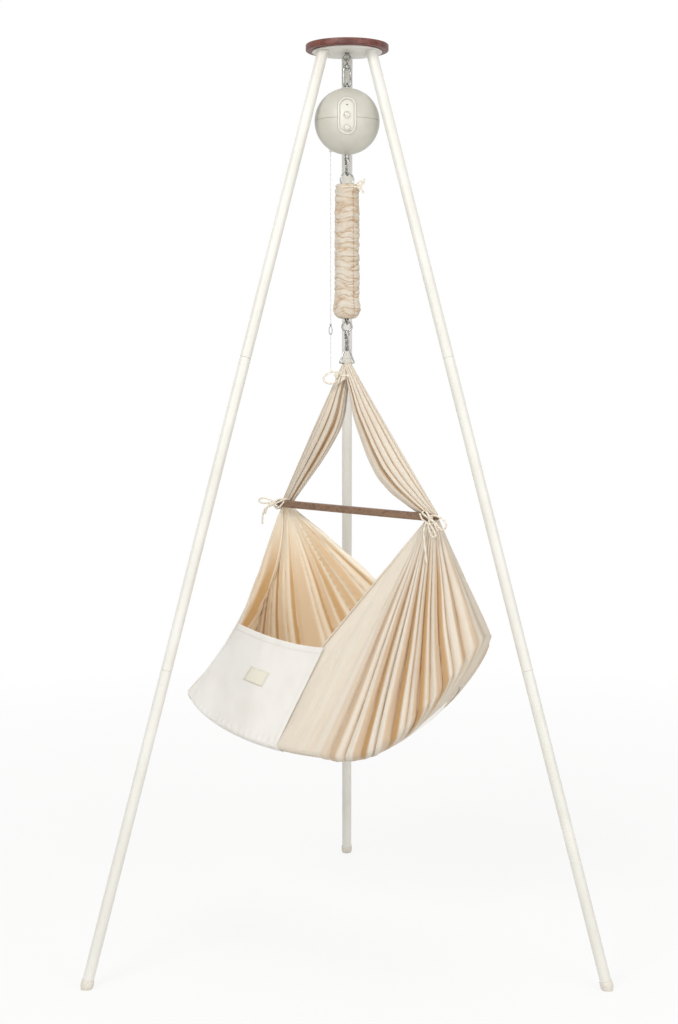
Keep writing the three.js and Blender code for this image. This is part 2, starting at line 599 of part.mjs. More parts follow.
function buildShells(parent) {
  const inner = ball.radius - ball.wall;
  const span = ball.radius + overrun;
  const z = ballZ;
  const shell = ballSolid(ball.radius, sides.ball).subtract(ballSolid(inner, sides.inside));
  const opening = pill(panel.width, panel.height, -span, 0);
  const upperHalf = solidOf(block(-span, span, -span, span, z + clearance / 2, z + span));
  const lowerHalf = solidOf(block(-span, span, -span, span, z - span, z - clearance / 2));
  const loopHole = solidOf(cylinder(ball.topHole, z, z + span, sides.tube));
  const puckLow = z + ball.radius - loop.puckDepth;
  const topBoss = solidOf(cylinder(ball.boss, puckLow, z + inner + ball.wall / 2, sides.tube));
  addPiece(parent, 'upper_shell', cutBy(shell.intersect(upperHalf).add(topBoss), opening, loopHole), 'shell');

  const lipOutside = inner * Math.cos(Math.PI / sides.inside) - clearance * 2;
  const lip = solidOf(turned([
    [lipOutside - ball.lipWall, z - ball.lipHeight], [lipOutside + ball.wall / 2, z - ball.lipHeight],
    [lipOutside + ball.wall / 2, z - ball.lipHeight / 2], [lipOutside - clearance, z],
    [lipOutside - clearance, z + ball.lipHeight],
    [lipOutside - ball.lipWall, z + ball.lipHeight],
  ], sides.ball));
  const rodHole = solidOf(cylinder(ball.bushHole, z - span, z - inner / 2, sides.tube));
  const inletHole = solidOf(crossCylinder(inlet.radius + clearance, 0, span, 0, z - inlet.drop, sides.tube));
  const lineBore = cylinder(lineGuide.radius + clearance, z - span, z);
  const lineHole = solidOf(lineBore.translate(-lineGuide.offset, 0, 0));
  const bossLow = z - inner - ball.wall / 2;
  const lowBoss = solidOf(cylinder(ball.boss, bossLow, z - inner + ball.bossRise, sides.tube));
  const halfShell = joined(shell.intersect(lowerHalf), lip, lowBoss);
  const lower = cutBy(halfShell, opening, rodHole, inletHole, lineHole);
  addPiece(parent, 'lower_shell', lower, 'shell');
}

function buildPanel(parent) {
  const fit = 2 * clearance;
  const outer = pill(panel.width - fit, panel.height - fit, -ball.radius, 0);
  const twoRims = 2 * panel.rimWidth;
  const inner = pill(panel.width - twoRims, panel.height - twoRims, -ball.radius - overrun, 0);
  const rim = ballSolid(ball.radius - panel.rimSink, sides.ball).intersect(outer).subtract(inner);
  const face = ballSolid(ball.radius - panel.sink, sides.ball).intersect(outer);
  const holes = button.rises.map((rise) => solidOf(
    crossCylinder(button.radius + clearance, -ball.radius, 0, 0, ballZ + rise, sides.tube)));
  const lampHole = solidOf(crossCylinder(lamp.radius + clearance, -ball.radius, 0, 0, ballZ + lamp.rise));
  const hollow = ballSolid(ball.radius - panel.depth, sides.ball);
  const posts = [];
  for (const x of [-board.postX, board.postX]) {
    for (const rise of [-board.postRise, board.postRise]) {
      const postZ = ballZ + panel.centreRise + rise;
      const reach = surfaceY(ball.radius - panel.depth, Math.hypot(board.postX, panel.centreRise + rise));
      const back = -board.front - clearance;
      posts.push(solidOf(crossCylinder(board.post, reach - panel.rimSink, back, x, postZ, sides.wire)));
    }
  }
  const plate = cutBy(rim.add(face), hollow, ...holes, lampHole);
  addPiece(parent, 'control_panel', joined(plate, ...posts), 'shell');

  const faceRadius = ball.radius - panel.sink;
  const backRadius = ball.radius - panel.depth;
  ['power_button', 'speed_button'].forEach((name, i) => {
    const rise = button.rises[i];
    const z = ballZ + rise;
    const front = surfaceY(faceRadius, rise) - button.proud;
    const flangeFront = surfaceY(backRadius, Math.abs(rise) + button.flange) + clearance * 2;
    const back = -board.front - clearance - button.flangeThickness;
    addPiece(parent, name, joined(
      solidOf(turned([
        [0, front], [button.radius - button.proud / 2, front], [button.radius, front + button.proud / 2],
        [button.radius, flangeFront + button.flangeThickness / 2],
        [0, flangeFront + button.flangeThickness / 2],
      ], sides.tube).rotateX(-Math.PI / 2).translate(0, 0, z)),
      solidOf(crossCylinder(
        button.flange, flangeFront, flangeFront + button.flangeThickness, 0, z, sides.tube,
      )),
      solidOf(crossCylinder(button.stem, flangeFront, back, 0, z)),
    ), 'knob');
  });
  const lampFront = surfaceY(faceRadius, lamp.rise) - lamp.proud;
  addPiece(parent, 'status_lamp', turned([
    [0, lampFront], [lamp.radius * lampShares.crown, lampFront + lamp.proud * lampShares.crownDepth],
    [lamp.radius, lampFront + lamp.proud],
    [lamp.radius, lampFront + lamp.length], [0, lampFront + lamp.length],
  ], sides.small).rotateX(-Math.PI / 2).translate(0, 0, ballZ + lamp.rise), 'lamp');
}

function buildWorks(parent) {
  const z = ballZ;
  const span = ball.radius;
  const puckTop = z + ball.radius - clearance * 2;
  const loopRingZ = loopPivotZ - loop.ring;
  const puckLow = puckTop - loop.puckDepth;
  const chassisTop = puckLow - loop.flangeThickness - clearance;
  addPiece(parent, 'motor_loop', joined(
    solidOf(wireRing(loop.ring, loop.wire, 0, loopRingZ).rotateZ(Math.PI / 2)),
    solidOf(cylinder(ball.topHole - clearance, puckLow, loopRingZ - loop.ring, sides.tube)),
    solidOf(cylinder(loop.flange, puckLow - loop.flangeThickness, puckLow, sides.tube)),
  ), 'steel');

  const { front, thickness, halfWidth, tabHalf, tabThickness } = chassis;
  const back = front + thickness;
  const bushTop = z - ball.radius + bush.length;
  const flangeTop = z - ball.radius + ball.wall + ball.bossRise + clearance + bush.flangeThickness;
  const tabLow = flangeTop + clearance;
  const motorZ = z + gearMotor.rise;
  const frame = joined(
    solidOf(block(-halfWidth, halfWidth, front, back, z - halfWidth, z + halfWidth + gearMotor.rise)),
    solidOf(block(-tabHalf, tabHalf, front, back, tabLow, z)),
    solidOf(block(-tabHalf, tabHalf, front, back, z, chassisTop)),
    solidOf(block(-tabHalf, tabHalf, -tabHalf, back, chassisTop - tabThickness, chassisTop)),
    solidOf(block(-tabHalf, tabHalf, -tabHalf, back, tabLow, tabLow + tabThickness)),
  );
  addPiece(parent, 'chassis', cutBy(frame,
    solidOf(crossCylinder(crank.shaft + 2 * clearance, 0, span, 0, motorZ)),
    solidOf(cylinder(bush.radius + clearance, z - span, z - halfWidth, sides.tube)),
  ), 'steel');

  const boxBack = back + clearance + gearMotor.boxLength;
  addPiece(parent, 'gear_motor', joined(
    solidOf(crossCylinder(gearMotor.boxRadius, back + clearance, boxBack, 0, motorZ, sides.inside)),
    solidOf(crossCylinder(
      gearMotor.radius, boxBack - clearance, boxBack + gearMotor.length, 0, motorZ, sides.tube,
    )),
  ), 'steel');

  const pinZ = motorZ - crank.throw;
  addPiece(parent, 'crank_wheel', joined(
    solidOf(crossCylinder(
      crank.radius, -crank.front, -crank.front + crank.thickness, 0, motorZ, sides.inside,
    )),
    solidOf(crossCylinder(crank.shaft, -crank.front + crank.thickness / 2, back, 0, motorZ)),
    solidOf(crossCylinder(crank.pin, -crank.front - crank.pinLength, -crank.front + clearance, 0, pinZ)),
  ), 'steel');

  const headZ = z - ball.radius + rod.headRise - crank.throw * 2;
  const headBack = rod.radius;
  addPiece(parent, 'lift_rod', joined(
    solidOf(cylinder(rod.radius, liftCollarZ + clearance, headZ, sides.tube)),
    solidOf(cylinder(rod.spigot, liftCollarZ - liftHook.collarHeight / 2, liftCollarZ + overrun)),
    solidOf(crossCylinder(rod.headRadius, -crank.front, headBack, 0, headZ, sides.tube)),
    solidOf(crossCylinder(crank.pin, -crank.front - crank.pinLength, -crank.front + clearance, 0, headZ)),
  ), 'steel');

  const strapFront = -crank.front - crank.pinLength + clearance;
  const strapLength = pinZ - headZ;
  const band = (radius) => {
    const shape = new THREE.Shape();
    shape.absarc(0, strapLength, radius, 0, Math.PI, false);
    shape.absarc(0, 0, radius, Math.PI, 2 * Math.PI, false);
    return shape;
  };
  const strapBand = band(crank.pin + clearance + strap.thickness);
  strapBand.holes.push(band(crank.pin + clearance));
  const cut = { depth: strap.width, bevelEnabled: false, curveSegments: sides.wire };
  addPiece(parent, 'pull_strap', new THREE.ExtrudeGeometry(strapBand, cut)
    .rotateX(Math.PI / 2).translate(0, strapFront + strap.width, headZ), 'rubber');

  const bushLow = z - ball.radius;
  addPiece(parent, 'guide_bush', turned([
    [rod.radius + clearance, bushLow], [bush.radius, bushLow],
    [bush.radius, flangeTop - bush.flangeThickness],
    [bush.flange, flangeTop - bush.flangeThickness], [bush.flange, flangeTop], [bush.radius, flangeTop],
    [bush.radius, bushTop], [rod.radius + clearance, bushTop],
  ], sides.tube), 'knob');

  const boardZ = z + panel.centreRise;
  addPiece(parent, 'circuit_board', block(
    -board.width / 2, board.width / 2, -board.front, -board.front + board.thickness,
    boardZ - board.height / 2, boardZ + board.height / 2,
  ), 'board');

  const inletZ = z - inlet.drop;
  const inletFace = Math.sqrt(ball.radius ** 2 - inlet.drop ** 2) + clearance;
  const innerRadius = ball.radius - ball.wall;
  const flangeBack = Math.sqrt(innerRadius ** 2 - (inlet.drop + inlet.flange) ** 2) - clearance * 4;
  const inletBody = joined(
    solidOf(crossCylinder(inlet.radius, inletFace - inlet.length, inletFace, 0, inletZ, sides.tube)),
    solidOf(crossCylinder(inlet.flange, inletFace - inlet.length, flangeBack, 0, inletZ, sides.tube)),
  );
  const socket = crossCylinder(inlet.socket, inletFace - inlet.socketDepth, inletFace + overrun, 0, inletZ);
  const pinBack = inletFace - (inlet.length + inlet.socketDepth) / 2;
  const pin = crossCylinder(inlet.pin, pinBack, inletFace - inlet.socket, 0, inletZ, sides.wire);
  addPiece(parent, 'power_inlet', cutBy(inletBody, solidOf(socket)).add(solidOf(pin)), 'lamp');

  const outside = z - Math.sqrt(ball.radius ** 2 - lineGuide.offset ** 2);
  const flangeReach = lineGuide.offset + lineGuide.flange;
  const flangeLow = z - Math.sqrt((ball.radius - ball.wall) ** 2 - flangeReach ** 2) + clearance * 3;
  const guideTop = flangeLow + lineGuide.flangeThickness;
  const guideBore = solidOf(cylinder(lineGuide.bore, outside - span, z));
  addPiece(parent, 'line_guide', cutBy(joined(
    solidOf(cylinder(lineGuide.radius, outside - lineGuide.drop, guideTop)),
    solidOf(cylinder(lineGuide.flange, flangeLow, guideTop)),
  ), guideBore).translate(-lineGuide.offset, 0, 0), 'knob');
  return guideTop;
}

// Spring: one unbroken wire, an end loop, the curls and the other end loop

function springPath() {
  const topCurlZ = springTopLoopZ - spring.loop - spring.shoulder;
  const lowCurlZ = springLowLoopZ + spring.loop + spring.shoulder;
  const points = [];
  const endLoop = (centreZ, up) => {
    const arc = [];
    for (let i = 0; i <= spring.loopSteps; i++) {
      const turn = (Math.PI * i) / spring.loopSteps;
      const rise = up * spring.loop * Math.sin(turn);
      arc.push(new THREE.Vector3(0, spring.loop * Math.cos(turn), centreZ + rise));
    }
    const { hookAcross, hookRise } = springShares;
    arc.push(new THREE.Vector3(0, -spring.loop * hookAcross, centreZ - up * spring.loop * hookRise));
    return arc;
  };
  const bridge = (centreZ, curlZ) => springShares.bridgeOut.map((out, i) => new THREE.Vector3(
    0, spring.radius * out, curlZ + (centreZ - curlZ) * springShares.bridgeRise[i]));
  const topCentre = springTopLoopZ - spring.loop;
  const lowCentre = springLowLoopZ + spring.loop;
  points.push(...endLoop(topCentre, 1).reverse(), ...bridge(topCentre, topCurlZ).reverse());
  const steps = spring.curls * spring.curlSteps;
  for (let i = 0; i <= steps; i++) {
    const turn = Math.PI / 2 + (2 * Math.PI * i) / spring.curlSteps;
    const z = topCurlZ + ((lowCurlZ - topCurlZ) * i) / steps;
    points.push(new THREE.Vector3(spring.radius * Math.cos(turn), spring.radius * Math.sin(turn), z));
  }
  points.push(...bridge(lowCentre, lowCurlZ), ...endLoop(lowCentre, -1));
  return points;
}

// Round sections set square to a run of points, each turned as little as it can be from the one before.
function sectionsAlong(points, radius, count) {
  const normal = new THREE.Vector3();
  return points.map((p, i) => {
    const before = points[Math.max(i - 1, 0)];
    const after = points[Math.min(i + 1, points.length - 1)];
    const tangent = after.clone().sub(before).normalize();
    if (i === 0) normal.set(1, 0, 0);
    normal.addScaledVector(tangent, -normal.dot(tangent)).normalize();
    const across = tangent.clone().cross(normal);
    const ring = [];
    for (let k = 0; k < count; k++) {
      const turn = (2 * Math.PI * k) / count;
      const outer = p.clone().addScaledVector(normal, radius * Math.cos(turn));
      ring.push(outer.addScaledVector(across, radius * Math.sin(turn)));
    }
    return ring;
  });
}

function leastSelfGap(points, radius, apart) {
  let least = Infinity;
  for (let i = 0; i < points.length; i++) {
    for (let j = i + apart; j < points.length; j++) least = Math.min(least, points[i].distanceTo(points[j]));
  }
  return least - 2 * radius;
}

function buildSpring(parent) {
  addPiece(parent, 'spring_ring', wireRing(springRing.ring, springRing.wire, 0, springRingZ, sides.turned)
    .rotateZ(THREE.MathUtils.degToRad(hookTurn.lift - 90)), 'steel');
  const points = springPath();
  const leastGap = leastSelfGap(points, spring.wire, spring.curlSteps - 2);
  console.log(`spring: least gap to itself ${leastGap.toFixed(2)} mm`);
  const turn = THREE.MathUtils.degToRad(hookTurn.lift - 90);
  const coil = lofted(sectionsAlong(points, spring.wire, spring.wireSides));
  addPiece(parent, 'spring_coil', coil.rotateZ(turn), 'steel');

  // The cover is a cloth tube bunched along the spring, drawn in at its neck.
  const rows = [];
  const segments = sides.tube;
  for (let i = 0; i <= cover.rings; i++) {
    const share = i / cover.rings;
    const z = coverTopZ + (coverLowZ - coverTopZ) * share;
    const { neckRings, hemRings, hem: hemShare, frill: frillShare } = coverShares;
    const neck = Math.min(1, i / neckRings, (cover.rings - i) / hemRings + hemShare);
    const intoFrill = Math.max(0, (share - 1 + frillShare) / frillShare);
    const frill = cover.frill * Math.sin(Math.PI * intoFrill);
    const row = [];
    for (let k = 0; k < segments; k++) {
      const around = (2 * Math.PI * k) / segments;
      const lean = coverShares.waveTurn * Math.sin(around * 2 + i * coverShares.waveLean);
      const wave = Math.sin(i * coverShares.ringTurn + lean) * cover.wrinkle;
      const r = cover.neck + spring.wire + (cover.radius - cover.neck - spring.wire + wave + frill) * neck;
      row.push(new THREE.Vector3(r * Math.cos(around), r * Math.sin(around), z));
    }
    rows.push(row);
  }
  const bore = solidOf(turned([
    [0, coverLowZ - overrun], [cover.neck, coverLowZ - overrun], [cover.neck, coverLowZ + cover.neck],
    [cover.bore, coverLowZ + 2 * cover.neck], [cover.bore, coverTopZ - 2 * cover.neck],
    [cover.neck, coverTopZ - cover.neck], [cover.neck, coverTopZ + overrun], [0, coverTopZ + overrun],
  ], segments));
  addPiece(parent, 'spring_cover', solidOf(lofted(rows)).subtract(bore), 'canvas');
  addPiece(parent, 'cover_tie', wrappedCord(coverTie).translate(0, 0, coverTopZ - coverTie.drop), 'cord');
}

// Safety line beside the spring, with the small snap in it

function buildLine(parent, guideTop) {
  const place = groupAt(parent, -lineGuide.offset, 0, 0);
  const run = (from, to) => cylinder(line.radius, to, from, line.sides);
  const knotZ = guideTop + line.knotRise;
  const knotBall = new THREE.SphereGeometry(line.knot, sides.small, sides.wire);
  const knot = knotBall.rotateX(Math.PI / 2).translate(0, 0, knotZ);
  const upper = run(knotZ, snapTopZ + clearance);
  addPiece(place, 'safety_line_upper', joined(solidOf(upper), solidOf(knot)), 'cord');
  addPiece(place, 'safety_line_lower', run(snapLowZ - clearance, snapLowZ - lineSnap.tail), 'cord');
  const { width, height } = lineSnap;
  const half = width / 2 - line.radius;
  const oval = new THREE.TorusGeometry(half, line.radius, sides.ring, sides.tube)
    .scale(1, (height * lineSnapShares.oval) / width, 1).rotateX(Math.PI / 2)
    .translate(0, 0, snapLowZ + height * lineSnapShares.ovalRise);
  const barrel = cylinder(line.radius * 2, snapTopZ - height * lineSnapShares.barrel, snapTopZ, sides.wire);
  const foot = cylinder(line.radius * 2, snapLowZ, snapLowZ + height * lineSnapShares.foot, sides.wire);
  addPiece(place, 'line_snap', joined(solidOf(oval), solidOf(barrel), solidOf(foot)), 'steel');
}

// Sling

const rimTable = (() => {
  const points = [];
  const count = 720;
  const power = 2 / base.squareness;
  for (let i = 0; i <= count; i++) {
    const turn = (2 * Math.PI * i) / count;
    const [c, s] = [Math.cos(turn), Math.sin(turn)];
    const reach = c > 0 ? base.headReach : base.footReach;
    const x = reach * Math.sign(c) * Math.abs(c) ** power;
    points.push(new THREE.Vector2(x, base.halfWidth * Math.sign(s) * Math.abs(s) ** power));
  }
  const lengths = [0];
  for (let i = 1; i <= count; i++) lengths.push(lengths[i - 1] + points[i].distanceTo(points[i - 1]));
  return { points, lengths, whole: lengths[count], count };
})();

// A point of the floor's outline, by its share of the way round from the middle of the head end.
function outlineAt(share) {
  const wanted = (share - Math.floor(share)) * rimTable.whole;
  let i = 1;
  while (i < rimTable.count && rimTable.lengths[i] < wanted) i++;
  const part = (wanted - rimTable.lengths[i - 1]) / (rimTable.lengths[i] - rimTable.lengths[i - 1]);
  return rimTable.points[i - 1].clone().lerp(rimTable.points[i], part);
}

function floorZ(x, y) {
  const head = Math.max(x, 0) / base.headReach;
  const foot = Math.max(-x, 0) / base.footReach;
  return base.headRise * head ** risePower + base.footRise * foot ** risePower + base.headRoll * y * head;
}

function pocketZ(x, y, q) {
  return floorZ(x, y) - base.pocketDrop * Math.sqrt(Math.max(0, 1 - q ** 4));
}

function rimPoint(share) {
  const p = outlineAt(share);
  return new THREE.Vector3(p.x, p.y, floorZ(p.x, p.y));
}

function outwardAt(share) {
  const step = 1 / rimTable.count;
  const along = outlineAt(share + step).sub(outlineAt(share - step)).normalize();
  return new THREE.Vector3(along.y, -along.x, 0);
}

const barTurn = THREE.MathUtils.degToRad(bar.turn);

// A point beside the spreader bar: how far along it, how far to its far side, and how high above its middle.
function barPoint(along, across, up) {
  return new THREE.Vector3(
    bar.offsetX + along * Math.cos(barTurn) - across * Math.sin(barTurn),
    bar.offsetY + along * Math.sin(barTurn) + across * Math.cos(barTurn),
    bar.rise - along * bar.tilt + up,
  );
}

const headAlong = bar.length / 2 - gather.headInset;
const footAlong = -bar.length / 2 + gather.footInset;
const headGather = barPoint(headAlong, gather.behind, -gather.drop);
const footGather = barPoint(footAlong, gather.behind, -gather.drop);

// The edge of the small bundle that a wall is gathered to, on the side that faces the given rim point.
function bundleEdge(centre, rim) {
  const away = new THREE.Vector3(rim.x - centre.x, rim.y - centre.y, 0).normalize();
  return centre.clone().addScaledVector(away, gather.radius);
}

function smooth(share) {
  const t = Math.min(Math.max(share, 0), 1);
  return t * t * (3 - 2 * t);
}

// Where the cloth that leaves the rim at this share ends: at a gather, or on the hem between two of them.
function wallTop(share) {
  const rim = rimPoint(share);
  const s = turnShares;
  const head = bundleEdge(headGather, rim);
  const foot = bundleEdge(footGather, rim);
  const low = new THREE.Vector3(...hem.farLow);
  if (share < s.nearFan) {
    const part = smooth((share - s.hemNear) / (s.nearFan - s.hemNear));
    return new THREE.Vector3(...hem.panelRight).lerp(head, part);
  }
  if (share < s.farFan) return head;
  if (share < s.farLow) return head.lerp(low, smooth((share - s.farFan) / (s.farLow - s.farFan)));
  if (share < s.footFan) return low.lerp(foot, smooth((share - s.farLow) / (s.footFan - s.farLow)));
  if (share < s.footNear) return foot;
  const fallen = smooth((share - s.footNear) / (s.panelLeft - s.footNear));
  return foot.lerp(new THREE.Vector3(...hem.panelLeft), fallen);
}

// How far the cloth stands out from the straight line between rim and top:
// drawn in at the foot end, full at the head.
function bellyAt(share) {
  const s = turnShares;
  const nearEnd = share > s.footFan ? smooth((s.panelLeft - share) / (s.panelLeft - s.footNear)) : 1;
  const foot = nearEnd * smooth((-Math.cos(2 * Math.PI * share) - drawShares.edge) / drawShares.span);
  const head = smooth(Math.cos(2 * Math.PI * share));
  return cloth.headBelly * head - cloth.footDraw * foot;
}

function wallPoint(share, t) {
  const rim = rimPoint(share);
  const outward = outwardAt(share);
  const s = turnShares;
  const fromRight = smooth((share - s.hemNear) / (s.nearFan - s.hemNear));
  const inside = fromRight * smooth((s.panelLeft - share) / (s.panelLeft - s.footNear));
  const pleat = cloth.pleat * inside * Math.sin(Math.PI * t) * Math.sin(2 * Math.PI * cloth.pleats * share);
  return rim.lerp(wallTop(share), t).addScaledVector(outward, bellyAt(share) * 4 * t * (1 - t) + pleat);
}

const floorShares = [pad.reachShare / 3, (2 * pad.reachShare) / 3, pad.reachShare];

function floorPoint(share, q, lift) {
  const p = outlineAt(share).multiplyScalar(q);
  return new THREE.Vector3(p.x, p.y, pocketZ(p.x, p.y, q) + lift);
}

// The columns of cloth run round the rim, with one at each end of the panel.
function columnShare(i, wallSpan) {
  const wallColumns = Math.round(cloth.columns * wallSpan);
  if (i <= wallColumns) return turnShares.hemNear + (wallSpan * i) / wallColumns;
  return turnShares.panelLeft + ((1 - wallSpan) * (i - wallColumns)) / (cloth.columns - wallColumns);
}

function buildCanvas() {
  const { columns, wallRows } = cloth;
  const wallSpan = turnShares.panelLeft - turnShares.hemNear;
  const wallColumns = Math.round(columns * wallSpan);
  const shareOf = (i) => columnShare(i, wallSpan);
  const positions = [];
  const index = [];
  const middle = floorPoint(0, 0, 0);
  positions.push(middle.x, middle.y, middle.z);
  const rings = [...floorShares, 1];
  rings.forEach((q) => {
    for (let i = 0; i < columns; i++) {
      const p = q === 1 ? rimPoint(shareOf(i)) : floorPoint(shareOf(i), q, 0);
      positions.push(p.x, p.y, p.z);
    }
  });
  const at = (ring, i) => 1 + ring * columns + (i % columns);
  for (let i = 0; i < columns; i++) index.push(0, at(0, i), at(0, i + 1));
  for (let r = 0; r < rings.length - 1; r++) {
    for (let i = 0; i < columns; i++) {
      index.push(at(r, i), at(r + 1, i), at(r + 1, i + 1), at(r, i), at(r + 1, i + 1), at(r, i + 1));
    }
  }
  const wallStart = positions.length / 3;
  for (let row = 1; row <= wallRows; row++) {
    for (let i = 0; i <= wallColumns; i++) {
      const p = wallPoint(shareOf(i), row / wallRows);
      positions.push(p.x, p.y, p.z);
    }
  }
  const wallRow = (row) => wallStart + (row - 1) * (wallColumns + 1);
  const wall = (row, i) => (row === 0 ? at(rings.length - 1, i) : wallRow(row) + i);
  for (let row = 0; row < wallRows; row++) {
    for (let i = 0; i < wallColumns; i++) {
      index.push(wall(row, i), wall(row + 1, i), wall(row + 1, i + 1));
      index.push(wall(row, i), wall(row + 1, i + 1), wall(row, i + 1));
    }
  }
  return solidOf(thickened(positions, index, cloth.thickness));
}

// One upper length of the canvas, from the bundle at the bar up to the loop at the top.
function strapSolid(from, to, fullness) {
  const along = to.clone().sub(from);
  const shape = strapShape;
  const rings = [];
  for (let i = 0; i <= shape.rings; i++) {
    const t = i / shape.rings;
    const twist = (Math.PI / 2) * (1 - t) + localTurn(triangle.turn) * t;
    const across = new THREE.Vector3(Math.cos(twist), Math.sin(twist), 0);
    const flat = along.clone().cross(across).normalize();
    const opened = Math.max(0, (t - shape.clearShare) / (1 - shape.clearShare));
    const swell = Math.sin(Math.PI * opened ** shape.skew) ** shape.power;
    const wideEnd = gather.radius + (shape.topWide - gather.radius) * t;
    const deepEnd = gather.radius + (shape.topDeep - gather.radius) * t;
    const wide = wideEnd + (shape.wide * fullness - wideEnd) * swell;
    const deep = deepEnd + (shape.deep * fullness - deepEnd) * swell;
    const ring = [];
    for (let k = 0; k < shape.sides; k++) {
      const turn = (2 * Math.PI * k) / shape.sides;
      const pleat = 1 + shape.pleatShare * swell * Math.cos(shape.pleats * turn);
      ring.push(from.clone().addScaledVector(along, t)
        .addScaledVector(across, wide * pleat * Math.cos(turn))
        .addScaledVector(flat, deep * pleat * Math.sin(turn)));
    }
    rings.push(ring);
  }
  return solidOf(lofted(rings));
}

const localTurn = (degrees) => THREE.MathUtils.degToRad(degrees - slingTurn);

// A point under the middle of the triangle ring, in the sling's own place.
function apexPoint(drop) {
  const turn = THREE.MathUtils.degToRad(-slingTurn);
  return new THREE.Vector3(-slingShift * Math.cos(turn), -slingShift * Math.sin(turn), slingHang - drop);
}

function apexLoop() {
  const shape = new THREE.Shape();
  shape.absarc(0, 0, apex.loopRadius, 0, Math.PI, false);
  shape.lineTo(-apex.loopRadius, -apex.bundleDrop - apex.loopRadius);
  shape.lineTo(apex.loopRadius, -apex.bundleDrop - apex.loopRadius);
  const hole = new THREE.Path();
  hole.absarc(0, 0, triangle.wire + clearance, 0, 2 * Math.PI, true);
  shape.holes.push(hole);
  const centre = apexPoint(0);
  const across = { depth: 2 * apex.halfWidth, bevelEnabled: false, curveSegments: sides.small };
  return solidOf(new THREE.ExtrudeGeometry(shape, across)
    .translate(0, 0, -apex.halfWidth).rotateX(Math.PI / 2).rotateZ(Math.PI / 2)
    .rotateZ(localTurn(triangle.turn)).translate(centre.x, centre.y, centre.z));
}

function trianglePoints() {
  const { halfWidth, height, corner, topHalf } = triangle;
  const outline = new THREE.Shape();
  outline.moveTo(-halfWidth + corner, 0);
  outline.lineTo(halfWidth - corner, 0);
  outline.quadraticCurveTo(halfWidth, 0, halfWidth - corner / 2, corner);
  outline.lineTo(topHalf + corner / 2, height - corner);
  outline.quadraticCurveTo(0, height + corner, -topHalf - corner / 2, height - corner);
  outline.lineTo(-halfWidth + corner / 2, corner);
  outline.quadraticCurveTo(-halfWidth, 0, -halfWidth + corner, 0);
  return outline.getSpacedPoints(sides.turned).slice(1).map((p) => new THREE.Vector3(p.x, 0, p.y));
}

// A knotted cord: one smooth run through the given points.
function knottedCord(points) {
  const corners = points.map(([x, y, z]) => new THREE.Vector3(x, y, z));
  const curve = new THREE.CatmullRomCurve3(corners, false, 'centripetal');
  return lofted(sectionsAlong(curve.getSpacedPoints(tie.steps), tie.radius, tie.sides));
}

// A cord once round the vertical axis, from one turn to the other, with what leads in and out of the ring.
function wrappedCord(size) {
  const ring = [];
  for (let i = 0; i <= sides.small; i++) {
    const part = i / sides.small;
    const turn = THREE.MathUtils.degToRad(size.fromTurn + (size.toTurn - size.fromTurn) * part);
    ring.push([size.ring * Math.cos(turn), size.ring * Math.sin(turn), size.pitch * (part - 1 / 2)]);
  }
  return knottedCord([...size.leadIn, ...ring, ...size.leadOut]);
}

// The lashing of one bar end: over the bar, behind the bundle, back under the bar, then a bow and a tail.
function barTie(middle, flip) {
  const neck = gather.radius + cloth.thickness + tie.radius + tie.slack;
  const side = bar.size / 2 + tie.radius + linkGap * 2;
  const back = gather.behind;
  const { corner, cornerEase, cornerRise, front, backInset, backRise, swell, hitch } = lashing;
  const shoulder = neck * lashingShares.shoulder;
  const behind = back + neck * lashingShares.back;
  const fromFront = ([along, out, up]) => [along, -side - out, up];
  const wrap = [
    [corner, -side + cornerEase, side + cornerRise], [neck, front, side],
    [neck + swell, back - backInset, backRise],
    [shoulder, behind, swell], [0, back + neck + swell, 0], [-shoulder, behind, -swell],
    [-neck - swell, back - backInset, -backRise - swell], [-neck, front, -side - swell],
    [-hitch, -side + cornerEase, -side - swell],
  ];
  const run = [...lashing.tail.map(fromFront), ...wrap, ...lashing.bow.map(fromFront)];
  return knottedCord(run.map(([along, across, up]) => {
    const p = barPoint(middle - flip * along, across, up);
    return [p.x, p.y, p.z];
  }));
}

function buildBar(parent) {
  const { length, size, edge, peg, pegLength } = bar;
  const half = size / 2;
  const section = new THREE.Shape();
  section.moveTo(-half + edge, -half);
  section.lineTo(half - edge, -half);
  section.quadraticCurveTo(half, -half, half, -half + edge);
  section.lineTo(half, half - edge);
  section.quadraticCurveTo(half, half, half - edge, half);
  section.lineTo(-half + edge, half);
  section.quadraticCurveTo(-half, half, -half, half - edge);
  section.lineTo(-half, -half + edge);
  section.quadraticCurveTo(-half, -half, -half + edge, -half);
  const from = barPoint(-length / 2, 0, 0);
  const to = barPoint(length / 2, 0, 0);
  const stock = new THREE.ExtrudeGeometry(section, {
    steps: 1, curveSegments: sides.wire / 2, extrudePath: new THREE.LineCurve3(from, to),
  });
  const ends = [barPoint(-length / 2 - pegLength, 0, 0), barPoint(length / 2 + pegLength, 0, 0)];
  const pegs = tubeAlong(new THREE.LineCurve3(...ends), peg, 1, sides.small);
  addPiece(parent, 'spreader_bar', solidOf(stock).add(solidOf(pegs)), 'walnut');
}

function sheetGrid(point, columns, rows) {
  const positions = [];
  const index = [];
  for (let row = 0; row <= rows; row++) {
    for (let i = 0; i <= columns; i++) {
      const p = point(i / columns, row / rows);
      positions.push(p.x, p.y, p.z);
    }
  }
  const at = (row, i) => row * (columns + 1) + i;
  for (let row = 0; row < rows; row++) {
    for (let i = 0; i < columns; i++) {
      index.push(at(row, i), at(row + 1, i), at(row + 1, i + 1));
      index.push(at(row, i), at(row + 1, i + 1), at(row, i + 1));
    }
  }
  return { positions, index };
}

